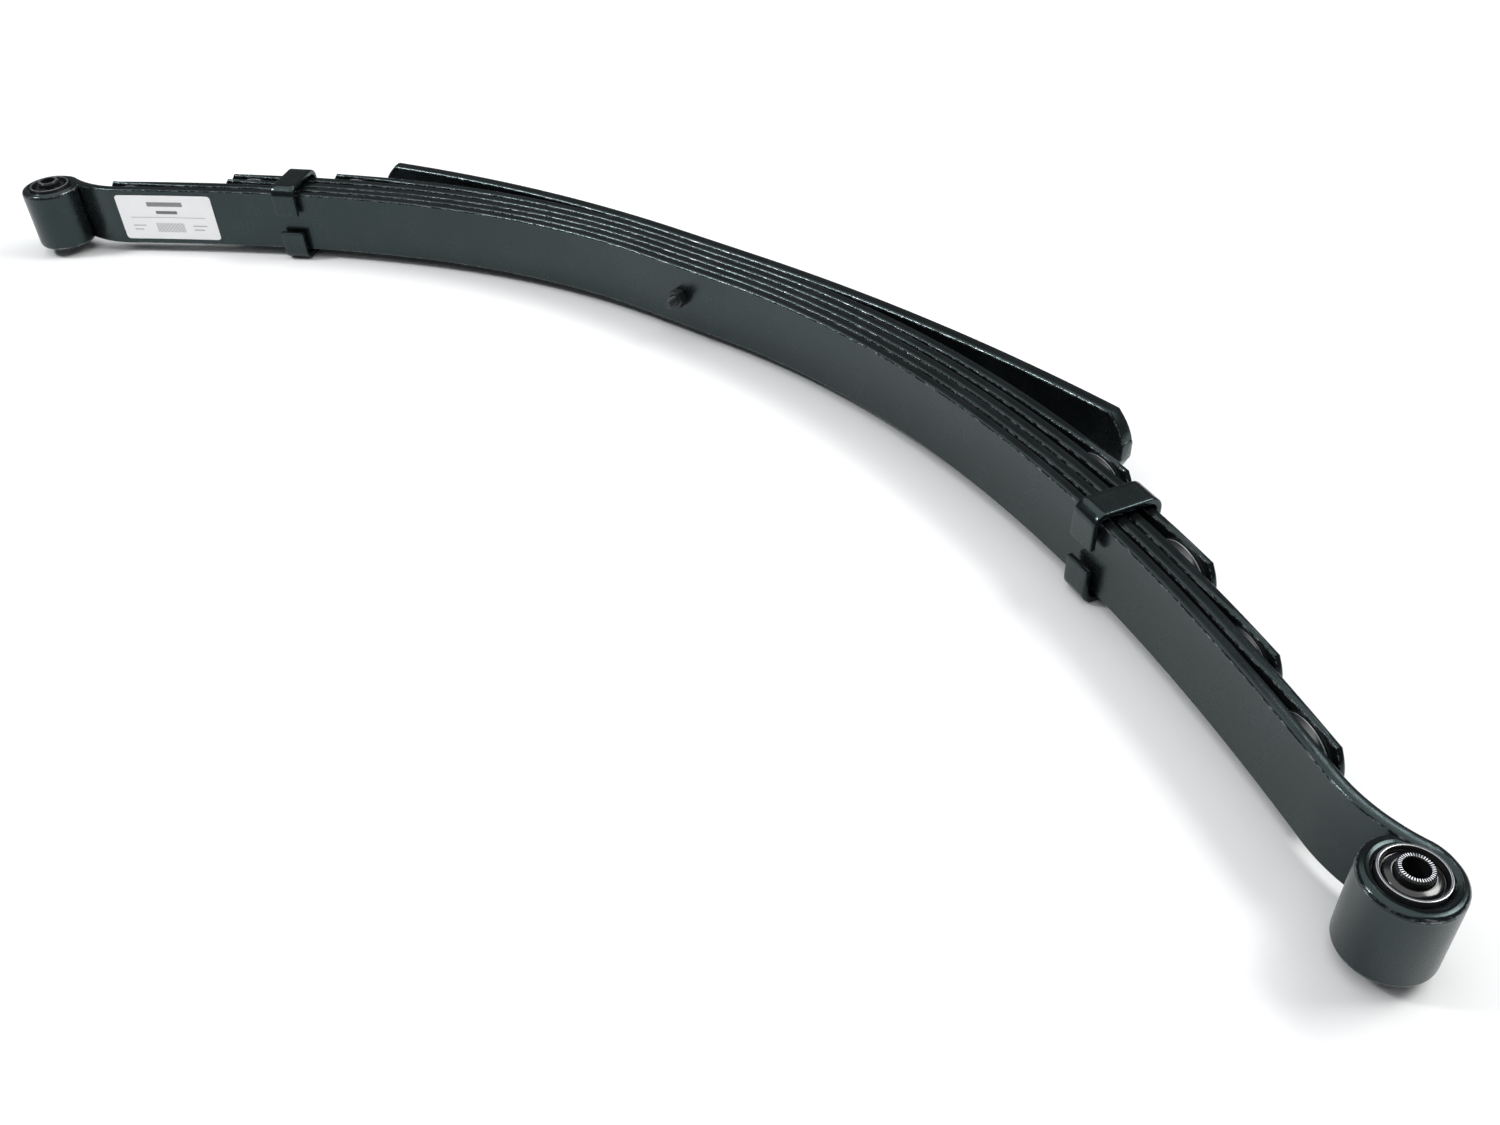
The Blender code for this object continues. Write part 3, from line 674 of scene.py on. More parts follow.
# Leaf geometry
class Arm:
    """One half of the spring, from the centre bolt to an eye."""

    def __init__(self, side, settings):
        self.side = side
        self.name = SIDE_NAMES[side]
        self.body = ARM_BODIES[side]
        self.settings = settings
        self.stock = settings.stock
        self.eye = settings.eye
        self.shape = settings.front if side == FRONT else settings.rear
        self.pitch = self.stock.thickness + self.stock.gap
        self.face_y = -self.stock.overload - len(LEAF_NAMES) * self.pitch
        self.bend_start = self.shape.reach - self.eye.bend_length
        self.distance = np.linspace(0.0, self.shape.reach, CURVE_STEPS)
        self.heading = self.heading_at(self.distance)
        step = np.diff(self.distance)
        middle = (self.heading[1:] + self.heading[:-1]) / 2
        self.x = np.concatenate([[0.0], np.cumsum(np.cos(middle) * step)]) * side
        self.y = self.face_y - np.concatenate([[0.0], np.cumsum(np.sin(middle) * step)])
        base, outward, along = self.frame(self.shape.reach)
        self.eye_centre = base - outward * self.eye.bore

    def heading_at(self, distance):
        """Angle of the main leaf below the seat direction."""
        shape = self.shape
        run = np.clip(distance - self.stock.clamped, 0.0, None)
        span = shape.reach - self.stock.clamped
        sweep = shape.root * run + (shape.end - shape.root) * run * run / (2 * span)
        bend = np.clip(distance - self.bend_start, 0.0, None) / self.eye.bend_length
        return sweep - shape.eye_bend * bend

    def frame(self, distance):
        """Point on the main leaf's concave face, the way out and the way along."""
        if distance < 0:
            return Vector((self.side * distance, self.face_y, 0.0)), NORTH, EAST * self.side
        x = float(np.interp(distance, self.distance, self.x))
        y = float(np.interp(distance, self.distance, self.y))
        heading = float(np.interp(distance, self.distance, self.heading))
        outward = Vector((self.side * math.sin(heading), math.cos(heading), 0.0))
        along = Vector((self.side * math.cos(heading), -math.sin(heading), 0.0))
        return Vector((x, y, 0.0)), outward, along

    def tip(self, leaf):
        """Distance from the bolt to a leaf's tip."""
        return self.shape.tips[leaf - SHORT_LEAVES[0]]

    def outer(self, leaf, distance):
        """Depth of a leaf's convex face."""
        tight = leaf * self.pitch - self.stock.gap
        if leaf == 1:
            return tight
        clamped = self.stock.clamped
        part = limited((distance - clamped) / (self.tip(leaf) - clamped))
        lift = self.stock.lifts[leaf - SHORT_LEAVES[0]]
        return tight + lift * part * part * (3 - 2 * part)

    def inner(self, leaf, distance):
        """Depth of a leaf's concave face, thinned towards the tip."""
        thickness = self.stock.thickness
        if leaf > 1:
            taper = self.stock.taper
            part = limited((distance - self.tip(leaf) + taper) / taper)
            thickness += (self.stock.tip - thickness) * part
        return self.outer(leaf, distance) - thickness

    def overload_frame(self, distance):
        """Point on the overload leaf's concave face and the way out."""
        bend = self.shape.overload_bend
        clamped = self.stock.clamped
        heading = bend * max(0.0, distance - clamped)
        x = min(distance, clamped) + math.sin(heading) / bend
        y = -self.stock.overload - (1 - math.cos(heading)) / bend
        outward = Vector((self.side * math.sin(heading), math.cos(heading), 0.0))
        return Vector((self.side * x, y, 0.0)), outward

    def room(self, radial):
        """How far from the eye's centre the arm's concave face lies in one direction."""
        nearest = 1.0
        across = Vector((-radial.y, radial.x, 0.0))
        before = None
        reach = self.shape.reach
        for distance in spaced(reach - EYE_REACH, reach, EYE_REACH_STEP):
            ray = self.frame(distance)[0] - self.eye_centre
            now = (ray.dot(across), ray.dot(radial))
            if before and before[0] * now[0] <= 0 and now[1] > 0:
                share = before[0] / (before[0] - now[0] or 1.0)
                nearest = min(nearest, before[1] + (now[1] - before[1]) * share)
            before = now
        return nearest

    def clip_distance(self):
        """Distance from the bolt to the middle of the rebound clip."""
        return self.tip(SHORT_LEAVES[-1]) + self.settings.clip.beyond

    def finish_leaf(self, piece, node):
        """Bake a leaf half in place and hide its CAD node; the rear half holds the bolt's hole."""
        if self.side == REAR:
            radius = self.stock.gap + self.settings.bolt.radius
            low = NUT_LOW.y - HOLE_OVERRUN
            bore(piece, Vector(), NORTH, radius, low, HEAD_HIGH.y + HOLE_OVERRUN)
        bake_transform(piece)
        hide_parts(node)


def leaf_outline(inner, outer, half, radius, crown):
    """A leaf's section as (depth, height, edge): rounded corners, slightly bulged edges."""
    radius = min(radius, LARGEST_CORNER_SHARE * (outer - inner))
    side = half - crown
    flat = side - radius - FACE_HOLD
    middle = (inner + outer) / 2
    # Each corner's centre and first angle, then the points up to the next corner.
    corners = (
        (inner + radius, -side + radius, math.pi, [(middle, -half, LEAF_SIDE_WEAR)]),
        (outer - radius, -side + radius, 1.5 * math.pi, [(outer, -flat, 0.0), (outer, flat, 0.0)]),
        (outer - radius, side - radius, 0.0, [(middle, half, LEAF_SIDE_WEAR)]),
        (inner + radius, side - radius, 0.5 * math.pi, [(inner, flat, 0.0), (inner, -flat, 0.0)]),
    )
    outline = []
    for index, (depth, height, start, after) in enumerate(corners):
        for step in range(LEAF_CORNER_STEPS + 1):
            share = step / LEAF_CORNER_STEPS
            turn = start + math.pi / 2 * share
            from_face = share if index in (0, 2) else 1 - share
            worn = math.sin(math.pi * min(from_face + CORNER_WEAR_START, 1.0))
            wear = CORNER_LEAST_WEAR + (1.0 - CORNER_LEAST_WEAR) * worn
            outline.append(
                (depth + radius * math.cos(turn), height + radius * math.sin(turn), wear)
            )
        outline += after
    return outline


def leaf_ring(base, outward, along_leaf, outline, least_edge=0.0):
    """Points of one section of a leaf, with their unbent places."""
    return [
        (base + outward * depth + UP * height, (along_leaf, depth, height), max(edge, least_edge))
        for depth, height, edge in outline
    ]


# A tip's cut corner as shares of its trim length and width, then its rounded end
# as shares of the rounding forward and inward.
TIP_CORNER = (
    (1.0, 0.0), (0.82, 0.12), (0.64, 0.24), (0.47, 0.37),
    (0.32, 0.51), (0.19, 0.66), (0.08, 0.82), (0.0, 1.0),
)
TIP_ROUND = ((0.30, 0.05), (0.62, 0.22), (0.87, 0.50), (1.0, 0.82))


def tip_sections(tip, half, trim_length, trim_width, start):
    """(distance, half width, inset, least edge) from a start to a trimmed, rounded tip."""
    end = tip - TIP_ROUNDING
    straight = spaced(start, end - trim_length, LEAF_STEP)[:-1]
    stations = [(distance, half, 0.0, 0.0) for distance in straight]
    for along, across in TIP_CORNER:
        stations.append((end - trim_length * along, half - trim_width * across, 0.0, 0.0))
    last = stations[-1][1]
    for forward, inward in TIP_ROUND:
        inset = TIP_ROUNDING * inward
        stations.append((end + TIP_ROUNDING * forward, last - inset, inset, TIP_WEAR))
    return stations


def eye_sections(arm):
    """Rings of the rolled eye, ending in a thinning tongue that closes on the arm."""
    stock = arm.stock
    eye = arm.eye
    base, outward, along = arm.frame(arm.shape.reach)
    outer = eye.bore + stock.thickness
    mean = (eye.bore + outer) / 2
    rings = []

    def add_ring(turn, reach_of, radius, least_edge):
        radial = outward * math.cos(turn) + along * math.sin(turn)
        outline = leaf_outline(eye.bore, reach_of(radial), stock.width / 2, radius, stock.crown)
        distance = arm.shape.reach + turn * mean
        rings.append(leaf_ring(arm.eye_centre, radial, distance, outline, least_edge))

    for step in range(1, EYE_STEPS + 1):
        radius = stock.edge + (eye.edge - stock.edge) * min(1.0, step / EYE_ROUNDING_STEPS)
        add_ring(eye.wrap * step / EYE_STEPS, lambda radial: outer, radius, 0.0)

    def tongue_reach(radial):
        room = arm.room(radial) - stock.gap
        return min(outer, max(room, eye.bore + THINNEST_TONGUE))

    for turn in spaced(eye.wrap, eye.tongue, math.radians(TONGUE_STEP))[1:]:
        add_ring(turn, tongue_reach, eye.edge, TONGUE_WEAR)
    return rings


# Operators
class LEAFSPRING_OT_main_leaf(bpy.types.Operator):
    """Build the main leaf with an eye rolled at each end"""

    bl_idname = "leafspring.main_leaf"
    bl_label = "Main Leaf"

    def execute(self, context):
        settings = context.scene.leaf_spring
        stock = settings.stock
        paint = steel_paint("leaf_paint", settings.colours)
        outline = leaf_outline(0.0, stock.thickness, stock.width / 2, stock.edge, stock.crown)
        for side in SIDES:
            arm = Arm(side, settings)
            reach = arm.shape.reach
            stations = spaced(-side * SPLIT, arm.bend_start, LEAF_STEP)
            stations += spaced(arm.bend_start, reach, EYE_BEND_STEP)[1:]
            rings = []
            for distance in stations:
                base, outward, along = arm.frame(distance)
                near_eye = limited((distance - reach) / EYE_SHADE_LENGTH + 1.0)
                rings.append(leaf_ring(base, outward, distance, outline, EYE_WEAR * near_eye))
            half = skin(f"main_leaf_{arm.name}_half", rings + eye_sections(arm), paint)
            arm.finish_leaf(half, "main_leaf")
        return {"FINISHED"}


class LEAFSPRING_OT_short_leaves(bpy.types.Operator):
    """Build the four graduated leaves behind the main leaf"""

    bl_idname = "leafspring.short_leaves"
    bl_label = "Graduated Leaves"

    def execute(self, context):
        settings = context.scene.leaf_spring
        paint = steel_paint("leaf_paint", settings.colours)
        for leaf in SHORT_LEAVES:
            for side in SIDES:
                arm = Arm(side, settings)
                half = self.half(arm, leaf, -side * SPLIT, paint)
                arm.finish_leaf(half, LEAF_NAMES[leaf])
        return {"FINISHED"}

    def half(self, arm, leaf, start, paint):
        """Half of a graduated leaf, thinned and trimmed at its tip."""
        stock = arm.stock
        rings = []
        for distance, half, inset, least_edge in tip_sections(
            arm.tip(leaf), stock.width / 2, stock.trim_length, stock.trim_width, start
        ):
            base, outward, along = arm.frame(distance)
            inner = arm.inner(leaf, distance) + inset
            outer = arm.outer(leaf, distance) - inset
            outline = leaf_outline(inner, outer, half, stock.edge, stock.crown)
            rings.append(leaf_ring(base, outward, distance, outline, least_edge))
        return skin(f"{LEAF_NAMES[leaf]}_{arm.name}_half", rings, paint)


class LEAFSPRING_OT_overload_leaf(bpy.types.Operator):
    """Build the thick flat leaf on the convex side"""

    bl_idname = "leafspring.overload_leaf"
    bl_label = "Overload Leaf"

    def execute(self, context):
        settings = context.scene.leaf_spring
        rings = self.half(Arm(FRONT, settings))[::-1] + self.half(Arm(REAR, settings))
        leaf = skin("overload_leaf_bar", rings, steel_paint("leaf_paint", settings.colours))
        radius = settings.stock.gap + settings.bolt.radius
        bore(leaf, Vector(), NORTH, radius, NUT_LOW.y, HEAD_HIGH.y + HOLE_OVERRUN)
        finish_piece(leaf, "pack", "black_paint", "overload_leaf")
        return {"FINISHED"}

    def half(self, arm):
        """Rings of one half, from just beside the bolt to the tip."""
        stock = arm.stock
        trim = (stock.overload_trim_length, stock.overload_trim_width)
        rings = []
        for distance, half, inset, least_edge in tip_sections(
            arm.shape.overload, stock.width / 2, *trim, OVERLOAD_START
        ):
            base, outward = arm.overload_frame(distance)
            radius = stock.edge * OVERLOAD_CORNER_SHARE
            outline = leaf_outline(inset, stock.overload - inset, half, radius, stock.crown)
            rings.append(leaf_ring(base, outward, arm.side * distance, outline, least_edge))
        return rings


class LEAFSPRING_OT_clips(bpy.types.Operator):
    """Build the rebound clips and the rivets that hold them"""

    bl_idname = "leafspring.clips"
    bl_label = "Rebound Clips"

    def strap_path(self, arm, clip):
        """The strap's middle line as (depth, height, way out, bend), top tab first."""
        reach = arm.stock.width / 2 + clip.edge_clearance + clip.thickness / 2
        near = -clip.face_clearance - clip.thickness / 2
        seat = arm.outer(CLIPPED_LEAF, arm.clip_distance()) + arm.stock.gap
        back = seat + clip.thickness / 2
        end = reach - clip.bend
        heights = spaced(clip.tab_gap / 2 + TIP_ROUNDING, end, STRAP_STEP)[:-1]
        path = [(near, height, -1.0, 0.0, 0.0) for height in heights]
        for centre, start in ((near + clip.bend, math.pi), (back - clip.bend, math.pi / 2)):
            for step in range(STRAP_BEND_STEPS + 1):
                turn = start - math.pi / 2 * step / STRAP_BEND_STEPS
                across = math.cos(turn)
                rise = math.sin(turn)
                bend = 1.0 if 0 < step < STRAP_BEND_STEPS else 0.4
                depth = centre + clip.bend * across
                path.append((depth, end + clip.bend * rise, across, rise, bend))
        lower = [(d, -h, across, -rise, bend) for d, h, across, rise, bend in path]
        return path + lower[::-1]

    def strap_ring(self, frame, clip, station, inset, drop):
        """One section of the strap; inset and drop round its two ends."""
        base, outward, along = frame
        depth, height, across, rise, bend = station
        half = clip.width / 2 - inset
        thick = clip.thickness / 2 - inset
        middle = base + outward * depth + UP * (height + drop)
        normal = outward * across + UP * rise
        ring = []

        def add(sideways, outwards, edge):
            point = middle + along * sideways + normal * outwards
            ring.append((point, (sideways, outwards + depth, height), edge))

        corners = ((-1, -1, math.pi), (1, -1, 1.5 * math.pi), (1, 1, 0.0), (-1, 1, 0.5 * math.pi))
        for right, out, start in corners:
            outer_wear = max(STRAP_OUTER_WEAR, STRAP_BEND_WEAR * bend)
            edge = outer_wear if out > 0 else STRAP_INNER_WEAR
            for step in range(STRAP_CORNER_STEPS + 1):
                turn = start + math.pi / 2 * step / STRAP_CORNER_STEPS
                sideways = right * (half - STRAP_CORNER) + STRAP_CORNER * math.cos(turn)
                add(sideways, out * (thick - STRAP_CORNER) + STRAP_CORNER * math.sin(turn), edge)
            if right == 1 and out == 1:
                for share in (0.6, 0.0, -0.6):
                    add(share * half, thick, STRAP_FACE_WEAR * bend)
        return ring

    def strap(self, arm, clip, paint):
        """The folded strap with its rivet hole."""
        distance = arm.clip_distance()
        frame = arm.frame(distance)
        path = self.strap_path(arm, clip)

        def end_rings(station, way):
            return [
                self.strap_ring(
                    frame, clip, station, STRAP_END_INSET * inward, way * TIP_ROUNDING * forward
                )
                for forward, inward in TIP_ROUND
            ]

        rings = end_rings(path[0], -1.0)[::-1]
        rings += [self.strap_ring(frame, clip, station, 0.0, 0.0) for station in path]
        rings += end_rings(path[-1], 1.0)
        strap = skin(arm.name + "_clip_strap", rings, paint)
        back = arm.outer(CLIPPED_LEAF, distance)
        radius = clip.rivet + arm.stock.gap
        high = back + clip.thickness + RIVET_HOLE_OVER
        bore(strap, frame[0], frame[1], radius, back - RIVET_HOLE_UNDER, high)
        finish_piece(strap, arm.body, "clip_paint", arm.name + "_rebound_clip")

    def rivet(self, arm, clip, paint):
        """A domed rivet through the strap and the fourth leaf."""
        distance = arm.clip_distance()
        base, outward, along = arm.frame(distance)
        start = arm.inner(CLIPPED_LEAF, distance) + arm.stock.gap
        seat = arm.outer(CLIPPED_LEAF, distance) + clip.thickness + 2 * arm.stock.gap
        profile = [
            (clip.rivet - 0.0003, start, 0.2),
            (clip.rivet, start + 0.0003, 0.2),
            (clip.rivet, seat, 0.2),
            (clip.head - 0.0004, seat, 0.4),
        ]
        for step in range(1, DOME_STEPS):
            turn = math.pi / 2 * step / DOME_STEPS
            height = seat + clip.head_height * math.sin(turn)
            profile.append((clip.head * math.cos(turn), height, 0.35 + 0.03 * step))
        axes = (outward, along, outward.cross(along))
        columns = turned(lambda step: profile, SMALL_SEGMENTS, base, axes, radius_last=False)
        made = skin(arm.name + "_rivet", list(zip(*columns)), paint)
        finish_piece(made, arm.body, "clip_paint", arm.name + "_clip_rivet")

    def execute(self, context):
        settings = context.scene.leaf_spring
        paint = steel_paint("strap_paint", settings.colours)
        for side in SIDES:
            arm = Arm(side, settings)
            self.strap(arm, settings.clip, paint)
            self.rivet(arm, settings.clip, paint)
        return {"FINISHED"}


# Levels of a wear pad: share of its radius, inset, share of its height and shift.
PAD_LEVELS = (
    (0.5, 0.0, 0.0, 0.0),
    (1.0, -PAD_BEVEL, 0.0, 0.0),
    (1.0, 0.0, 0.0, PAD_BEVEL),
    (1.0, 0.0, 0.45, 0.0),
    (1.0, 0.0, 1.0, -PAD_BEVEL),
    (1.0, -PAD_BEVEL, 1.0, 0.0),
    (0.5, 0.0, 1.0, 0.0),
)


class LEAFSPRING_OT_pads(bpy.types.Operator):
    """Build the round wear pads under the leaf tips"""

    bl_idname = "leafspring.pads"
    bl_label = "Wear Pads"

    def pad(self, arm, leaf, clip, material):
        """One disc that follows the two faces it lies between."""
        radius = arm.stock.width / 2 - clip.pad_margin
        middle = arm.tip(leaf) - clip.pad_setback - radius

        def entry(reach, turn, rise, shift):
            distance = middle + reach * math.cos(turn)
            base, outward, along = arm.frame(distance)
            under = arm.outer(leaf - 1, distance) + arm.stock.gap
            over = arm.inner(leaf, distance) - arm.stock.gap
            depth = under + (over - under) * rise + shift
            height = reach * math.sin(turn)
            layer = (depth - under) / (over - under)
            return base + outward * depth + UP * height, (distance, depth, height), layer

        turns = [2 * math.pi * step / LARGE_SEGMENTS for step in range(LARGE_SEGMENTS)]
        rings = [
            [entry(radius * share + inset, turn, rise, shift) for turn in turns]
            for share, inset, rise, shift in PAD_LEVELS
        ]
        middles = (entry(0.0, 0.0, 0.0, 0.0), entry(0.0, 0.0, 1.0, 0.0))
        name = f"{LEAF_NAMES[leaf]}_{arm.name}"
        made = skin(name + "_disc", rings, material, middles=middles)
        finish_piece(made, arm.body, "wear_pad", name + "_pad")

    def execute(self, context):
        settings = context.scene.leaf_spring
        material = pad_finish(settings.colours)
        for side in SIDES:
            arm = Arm(side, settings)
            for leaf in SHORT_LEAVES:
                self.pad(arm, leaf, settings.clip, material)
        return {"FINISHED"}


# The rubber's end as shares of its width from the sleeve and of its groove's depth.
RUBBER_PROFILE = (
    (0.0, 0.12), (0.04, 0.02), (0.07, 0.0), (0.24, 0.09), (0.42, 0.18), (0.59, 0.28), (0.65, 0.36),
    (0.70, 0.58), (0.75, 0.86), (0.80, 0.97), (0.85, 0.93), (0.90, 0.66), (0.95, 0.50), (1.0, 0.52),
)
TOOTH_SHARE = 0.4


class LEAFSPRING_OT_bushings(bpy.types.Operator):
    """Build the shell, rubber and toothed sleeve in each eye"""

    bl_idname = "leafspring.bushings"
    bl_label = "Eye Bushings"

    def shell(self, inner, outer, end):
        """Upper end of the outer shell, with turned lips."""
        lip = SHELL_LIP
        return [
            (inner, end - lip, 0.1),
            (inner + 0.3 * lip, end - 0.3 * lip, 0.8),
            (inner + lip, end, 0.7),
            ((inner + outer) / 2, end, 0.0),
            (outer - lip, end, 0.8),
            (outer - 0.3 * lip, end - 0.3 * lip, 1.0),
            (outer, end - lip, 0.3),
        ]

    def sleeve(self, eye, top, step):
        """Upper end of the inner sleeve at one step round its radial teeth."""
        bore_radius = eye.sleeve_bore
        outer = bore_radius + eye.sleeve_wall
        crest = 1.0 if (step % TOOTH_STEPS) / TOOTH_STEPS < TOOTH_SHARE else 0.0
        rise = top - eye.tooth * (1.0 - crest)
        return [
            (bore_radius, top - 0.0018, 0.0),
            (bore_radius + 0.0003, rise, crest),
            (outer - 0.0009, rise, crest),
            (outer - 0.0006, rise - 0.0003, 0.0),
            (outer, top - 0.0016, 0.0),
        ]

    def execute(self, context):
        settings = context.scene.leaf_spring
        eye = settings.eye
        gap = settings.stock.gap
        half = settings.stock.width / 2
        outer = eye.bore - gap
        inner = outer - eye.shell_wall
        start = eye.sleeve_bore + eye.sleeve_wall + gap
        span = inner - gap - start
        crest = half + eye.rubber_proud
        shell = self.shell(inner, outer, half + eye.shell_proud)
        rubber = [
            (start + share * span, crest - eye.groove * drop, 0.0)
            for share, drop in RUBBER_PROFILE
        ]
        rubber_black = rubber_finish(settings.colours)
        shell_steel = bare_steel("shell_steel", settings.colours, 0.03, 0.20)
        sleeve_steel = bare_steel("sleeve_steel", settings.colours, 0.02, 0.22)
        for side in SIDES:
            arm = Arm(side, settings)
            for part, upper, material, slot in (
                ("shell", shell, shell_steel, "bare_steel"),
                ("rubber", rubber, rubber_black, "bushing_rubber"),
            ):
                section = both_ends(upper)
                columns = turned(lambda step: section, LARGE_SEGMENTS, arm.eye_centre, EYE_AXES)
                made = skin(f"{arm.name}_{part}", columns, material, around=True)
                finish_piece(made, arm.body, slot, f"{arm.name}_bushing_{part}")
            columns = turned(
                lambda step: both_ends(self.sleeve(eye, half + eye.sleeve_proud, step)),
                eye.teeth * TOOTH_STEPS,
                arm.eye_centre,
                EYE_AXES,
            )
            sleeve = skin(arm.name + "_sleeve_tube", columns, sleeve_steel, 20.0, around=True)
            node = arm.name + "_bushing_sleeve"
            finish_piece(sleeve, SLEEVE_BODIES[side], "bare_steel", node)
        return {"FINISHED"}


NUT_CORNER = 1.135
NUT_WORN_CORNER = 1.12
NUT_FACE = 0.99
NUT_CHAMFER = 0.55


class LEAFSPRING_OT_center_bolt(bpy.types.Operator):
    """Build the centre bolt and its nut"""

    bl_idname = "leafspring.center_bolt"
    bl_label = "Centre Bolt"

    def bolt(self, sizes, step):
        """Threaded tail, plain shank and round head at one step of the turn."""
        end = HEAD_LOW.y
        top = HEAD_HIGH.y
        head = HEAD_HIGH.x
        thread_end = NUT_HIGH.y
        profile = []
        for row in spaced(end, thread_end, sizes.pitch / THREAD_STEPS):
            fade = min(1.0, (row - end) / TAIL_LENGTH)
            phase = (row / sizes.pitch + step / SMALL_SEGMENTS) % 1.0
            cut = sizes.thread * abs(2 * phase - 1)
            radius = min(sizes.radius - cut, sizes.radius - TAIL_DROP * (1 - fade))
            profile.append((radius, row, 0.75 - 0.7 * cut / sizes.thread))
        return profile + [
            (sizes.radius, thread_end + 0.0005, 0.1),
            (sizes.radius, HEAD_GAP, 0.1),
            (head - 0.0005, HEAD_GAP, 0.3),
            (head, HEAD_GAP + 0.0005, 0.6),
            (head, top - 0.0016, 0.3),
            (head - 0.0004, top - 0.0006, 0.6),
            (head - 0.0014, top, 0.5),
            (head * 0.5, top, 0.1),
        ]

    def nut(self, sizes, gap, step):
        """Hexagon nut with turned chamfers at one step of the turn."""
        hole = sizes.radius + gap
        apothem = sizes.flats / 2
        near = NUT_HIGH.y
        far = NUT_LOW.y
        turn = 2 * math.pi * step / LARGE_SEGMENTS
        offset = (turn % (math.pi / 3)) - math.pi / 6
        corner = min(apothem / math.cos(offset), apothem * NUT_CORNER)
        faced = min(corner, apothem * NUT_FACE)
        drop = (corner - faced) * NUT_CHAMFER + 0.0001
        worn = 0.15 + 0.65 * (corner / apothem > NUT_WORN_CORNER)
        return (
            (hole + 0.0005, far, 0.4),
            (faced, far, 0.5),
            (corner, far + drop, 0.6),
            (corner, near - drop, worn),
            (faced, near, 0.3),
            (hole + 0.0005, near, 0.2),
            (hole, near - 0.0005, 0.1),
            (hole, far + 0.0005, 0.2),
        )

    def execute(self, context):
        settings = context.scene.leaf_spring
        sizes = settings.bolt
        gap = settings.stock.gap
        paint = steel_paint("bolt_paint", settings.colours)
        columns = turned(
            lambda step: self.bolt(sizes, step), SMALL_SEGMENTS, Vector(), BOLT_AXES
        )
        bolt = skin("center_bolt_threaded", list(zip(*columns)), paint, 40.0)
        finish_piece(bolt, "pack", "bolt_paint", "center_bolt")
        columns = turned(
            lambda step: self.nut(sizes, gap, step), LARGE_SEGMENTS, Vector(), BOLT_AXES
        )
        nut = skin("center_nut_hex", columns, paint, 24.0, around=True)
        finish_piece(nut, "pack", "bolt_paint", "center_nut")
        return {"FINISHED"}


class LEAFSPRING_OT_label(bpy.types.Operator):
    """Build the label with plain bars on the main leaf"""

    bl_idname = "leafspring.label"
    bl_label = "Label"

    def execute(self, context):
        settings = context.scene.leaf_spring
        sizes = settings.label
        arm = Arm(FRONT, settings)
        end = arm.shape.reach - sizes.setback
        start = end - sizes.length
        corner = sizes.corner
        stations = []
        for step in range(1, LABEL_CORNER_STEPS + 1):
            turn = math.pi / 2 * step / LABEL_CORNER_STEPS
            stations.append((end - corner + corner * math.cos(turn), corner * math.sin(turn)))
        turned_back = [(start + end - distance, rise) for distance, rise in stations]
        middle = spaced(end - corner, start + corner, LABEL_STEP)[1:-1]
        stations += [(distance, corner) for distance in middle] + turned_back[::-1]
        near = -arm.stock.gap
        far = near - sizes.film
        rings = []
        for distance, rise in stations:
            half = sizes.height / 2 - corner + rise
            base, outward, along = arm.frame(distance)
            ring = []
            for depth, height in ((near, -half), (far, -half), (far, half), (near, half)):
                place = (end - distance, height + sizes.height / 2, 0.0)
                ring.append((base + outward * depth + UP * height, place, 0.0))
            rings.append(ring)
        made = skin("label_film", rings, label_finish(settings.colours), 40.0)
        finish_piece(made, "front_arm", "label_film", "label")
        return {"FINISHED"}


# Soft lights: name, place, point that it faces, width and length, tint.
LIGHT_AIM = (0.05, -0.15, 0.0)
LIGHTS = (
    ("key", (2.1, 1.6, 3.0), LIGHT_AIM, (1.6, 1.3), (1.0, 0.99, 0.97)),
    ("back", (0.74, 2.4, 3.0), LIGHT_AIM, (1.2, 0.9), (0.94, 0.97, 1.0)),
    ("edge", (-2.0, -1.75, 2.4), LIGHT_AIM, (0.5, 0.5), (0.97, 0.99, 1.0)),
    ("top", (-0.5, -0.6, 3.2), (-0.5, -0.599, 0.0), (5.0, 5.0), (1.0, 1.0, 1.0)),
)
SKY_TINT = (0.93, 0.97, 1.0, 1.0)


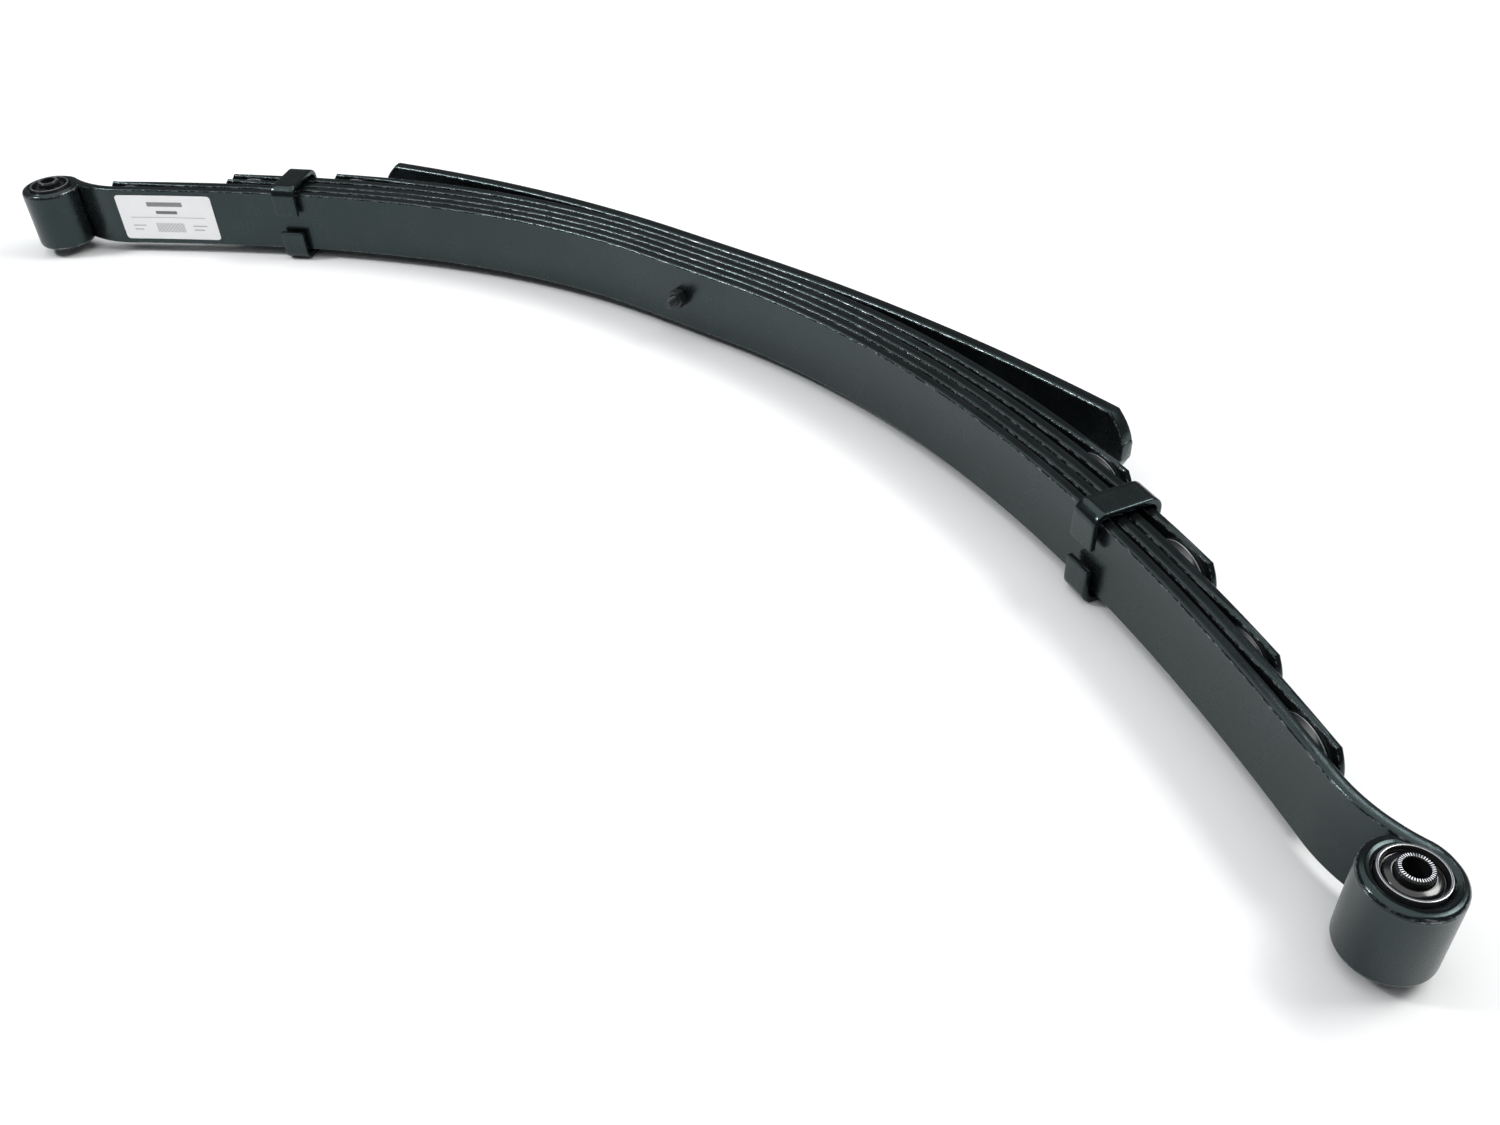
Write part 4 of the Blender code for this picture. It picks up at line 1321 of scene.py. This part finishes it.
class LEAFSPRING_OT_stage(bpy.types.Operator):
    """Set the pale floor, the soft lights and the camera"""

    bl_idname = "leafspring.stage"
    bl_label = "Stage"

    def floor(self, scene, half, material):
        """A square of floor just under the spring."""
        level = CAD_BOX[0].z - FLOOR_GAP
        corners = [(x * half, y * half, level) for x, y in ((-1, -1), (1, -1), (1, 1), (-1, 1))]
        mesh = bpy.data.meshes.new("floor")
        mesh.from_pydata(corners, [], [(0, 1, 2, 3)])
        mesh.materials.append(material)
        floor = bpy.data.objects.new("floor", mesh)
        scene.collection.objects.link(floor)

    def softbox(self, scene, name, place, aim, size, tint, power):
        """A rectangular light that faces a point."""
        data = bpy.data.lights.new(name, "AREA")
        data.shape = "RECTANGLE"
        data.size, data.size_y = size
        data.energy = power
        data.color = tint
        lamp = bpy.data.objects.new(name, data)
        lamp.location = place
        way = Vector(aim) - Vector(place)
        lamp.rotation_euler = way.to_track_quat("-Z", "Y").to_euler()
        scene.collection.objects.link(lamp)

    def camera(self, scene, stage):
        """The camera, turned, tilted and leaned from its place."""
        data = bpy.data.cameras.new("camera")
        data.lens = stage.lens
        data.sensor_width = 36.0
        data.clip_start = 0.01
        data.clip_end = 50.0
        camera = bpy.data.objects.new("camera", data)
        turn = stage.turn
        tilt = stage.tilt
        lean = stage.roll
        level = math.cos(tilt)
        back = Vector((math.sin(turn) * level, -math.cos(turn) * level, math.sin(tilt)))
        right = UP.cross(back).normalized()
        above = back.cross(right)
        right_now = right * math.cos(lean) + above * math.sin(lean)
        above_now = above * math.cos(lean) - right * math.sin(lean)
        rotation = Matrix((right_now, above_now, back)).transposed().to_4x4()
        spot = Vector((stage.camera_x, stage.camera_y, stage.camera_z))
        camera.matrix_world = Matrix.Translation(spot) @ rotation
        scene.collection.objects.link(camera)
        scene.camera = camera

    def execute(self, context):
        settings = context.scene.leaf_spring
        stage = settings.stage
        scene = context.scene
        self.floor(scene, stage.floor, floor_finish(settings.colours))
        world = bpy.data.worlds.new("studio")
        world.use_nodes = True
        sky = world.node_tree.nodes["Background"]
        sky.inputs["Color"].default_value = SKY_TINT
        sky.inputs["Strength"].default_value = stage.sky
        scene.world = world
        for name, place, aim, size, tint in LIGHTS:
            self.softbox(scene, name, place, aim, size, tint, getattr(stage, name))
        self.camera(scene, stage)
        scene.view_settings.view_transform = "Standard"
        scene.view_settings.look = "None"
        return {"FINISHED"}


class LEAFSPRING_PT_build(bpy.types.Panel):
    """Buttons that build the spring and its stage"""

    bl_idname = "LEAFSPRING_PT_build"
    bl_label = "Leaf Spring"
    bl_space_type = "VIEW_3D"
    bl_region_type = "UI"
    bl_category = "Leaf Spring"

    def draw(self, context):
        column = self.layout.column(align=True)
        for operator in BUILD_ORDER:
            column.operator(operator.bl_idname)


BUILD_ORDER = (
    LEAFSPRING_OT_stage,
    LEAFSPRING_OT_main_leaf,
    LEAFSPRING_OT_short_leaves,
    LEAFSPRING_OT_overload_leaf,
    LEAFSPRING_OT_clips,
    LEAFSPRING_OT_pads,
    LEAFSPRING_OT_bushings,
    LEAFSPRING_OT_center_bolt,
    LEAFSPRING_OT_label,
)
CLASSES = (
    LeafStock,
    FrontArm,
    RearArm,
    EyeSizes,
    ClipSizes,
    BoltSizes,
    LabelSizes,
    PaintColours,
    StageSettings,
    SpringSettings,
    *BUILD_ORDER,
    LEAFSPRING_PT_build,
)


def register():
    for item in CLASSES:
        bpy.utils.register_class(item)
    bpy.types.Scene.leaf_spring = PointerProperty(type=SpringSettings)


def unregister():
    del bpy.types.Scene.leaf_spring
    for item in reversed(CLASSES):
        bpy.utils.unregister_class(item)


def main():
    """Register the builder, then build every piece and the stage."""
    register()
    for operator in BUILD_ORDER:
        group, name = operator.bl_idname.split(".")
        getattr(getattr(bpy.ops, group), name)()


if __name__ == "__main__":
    main()
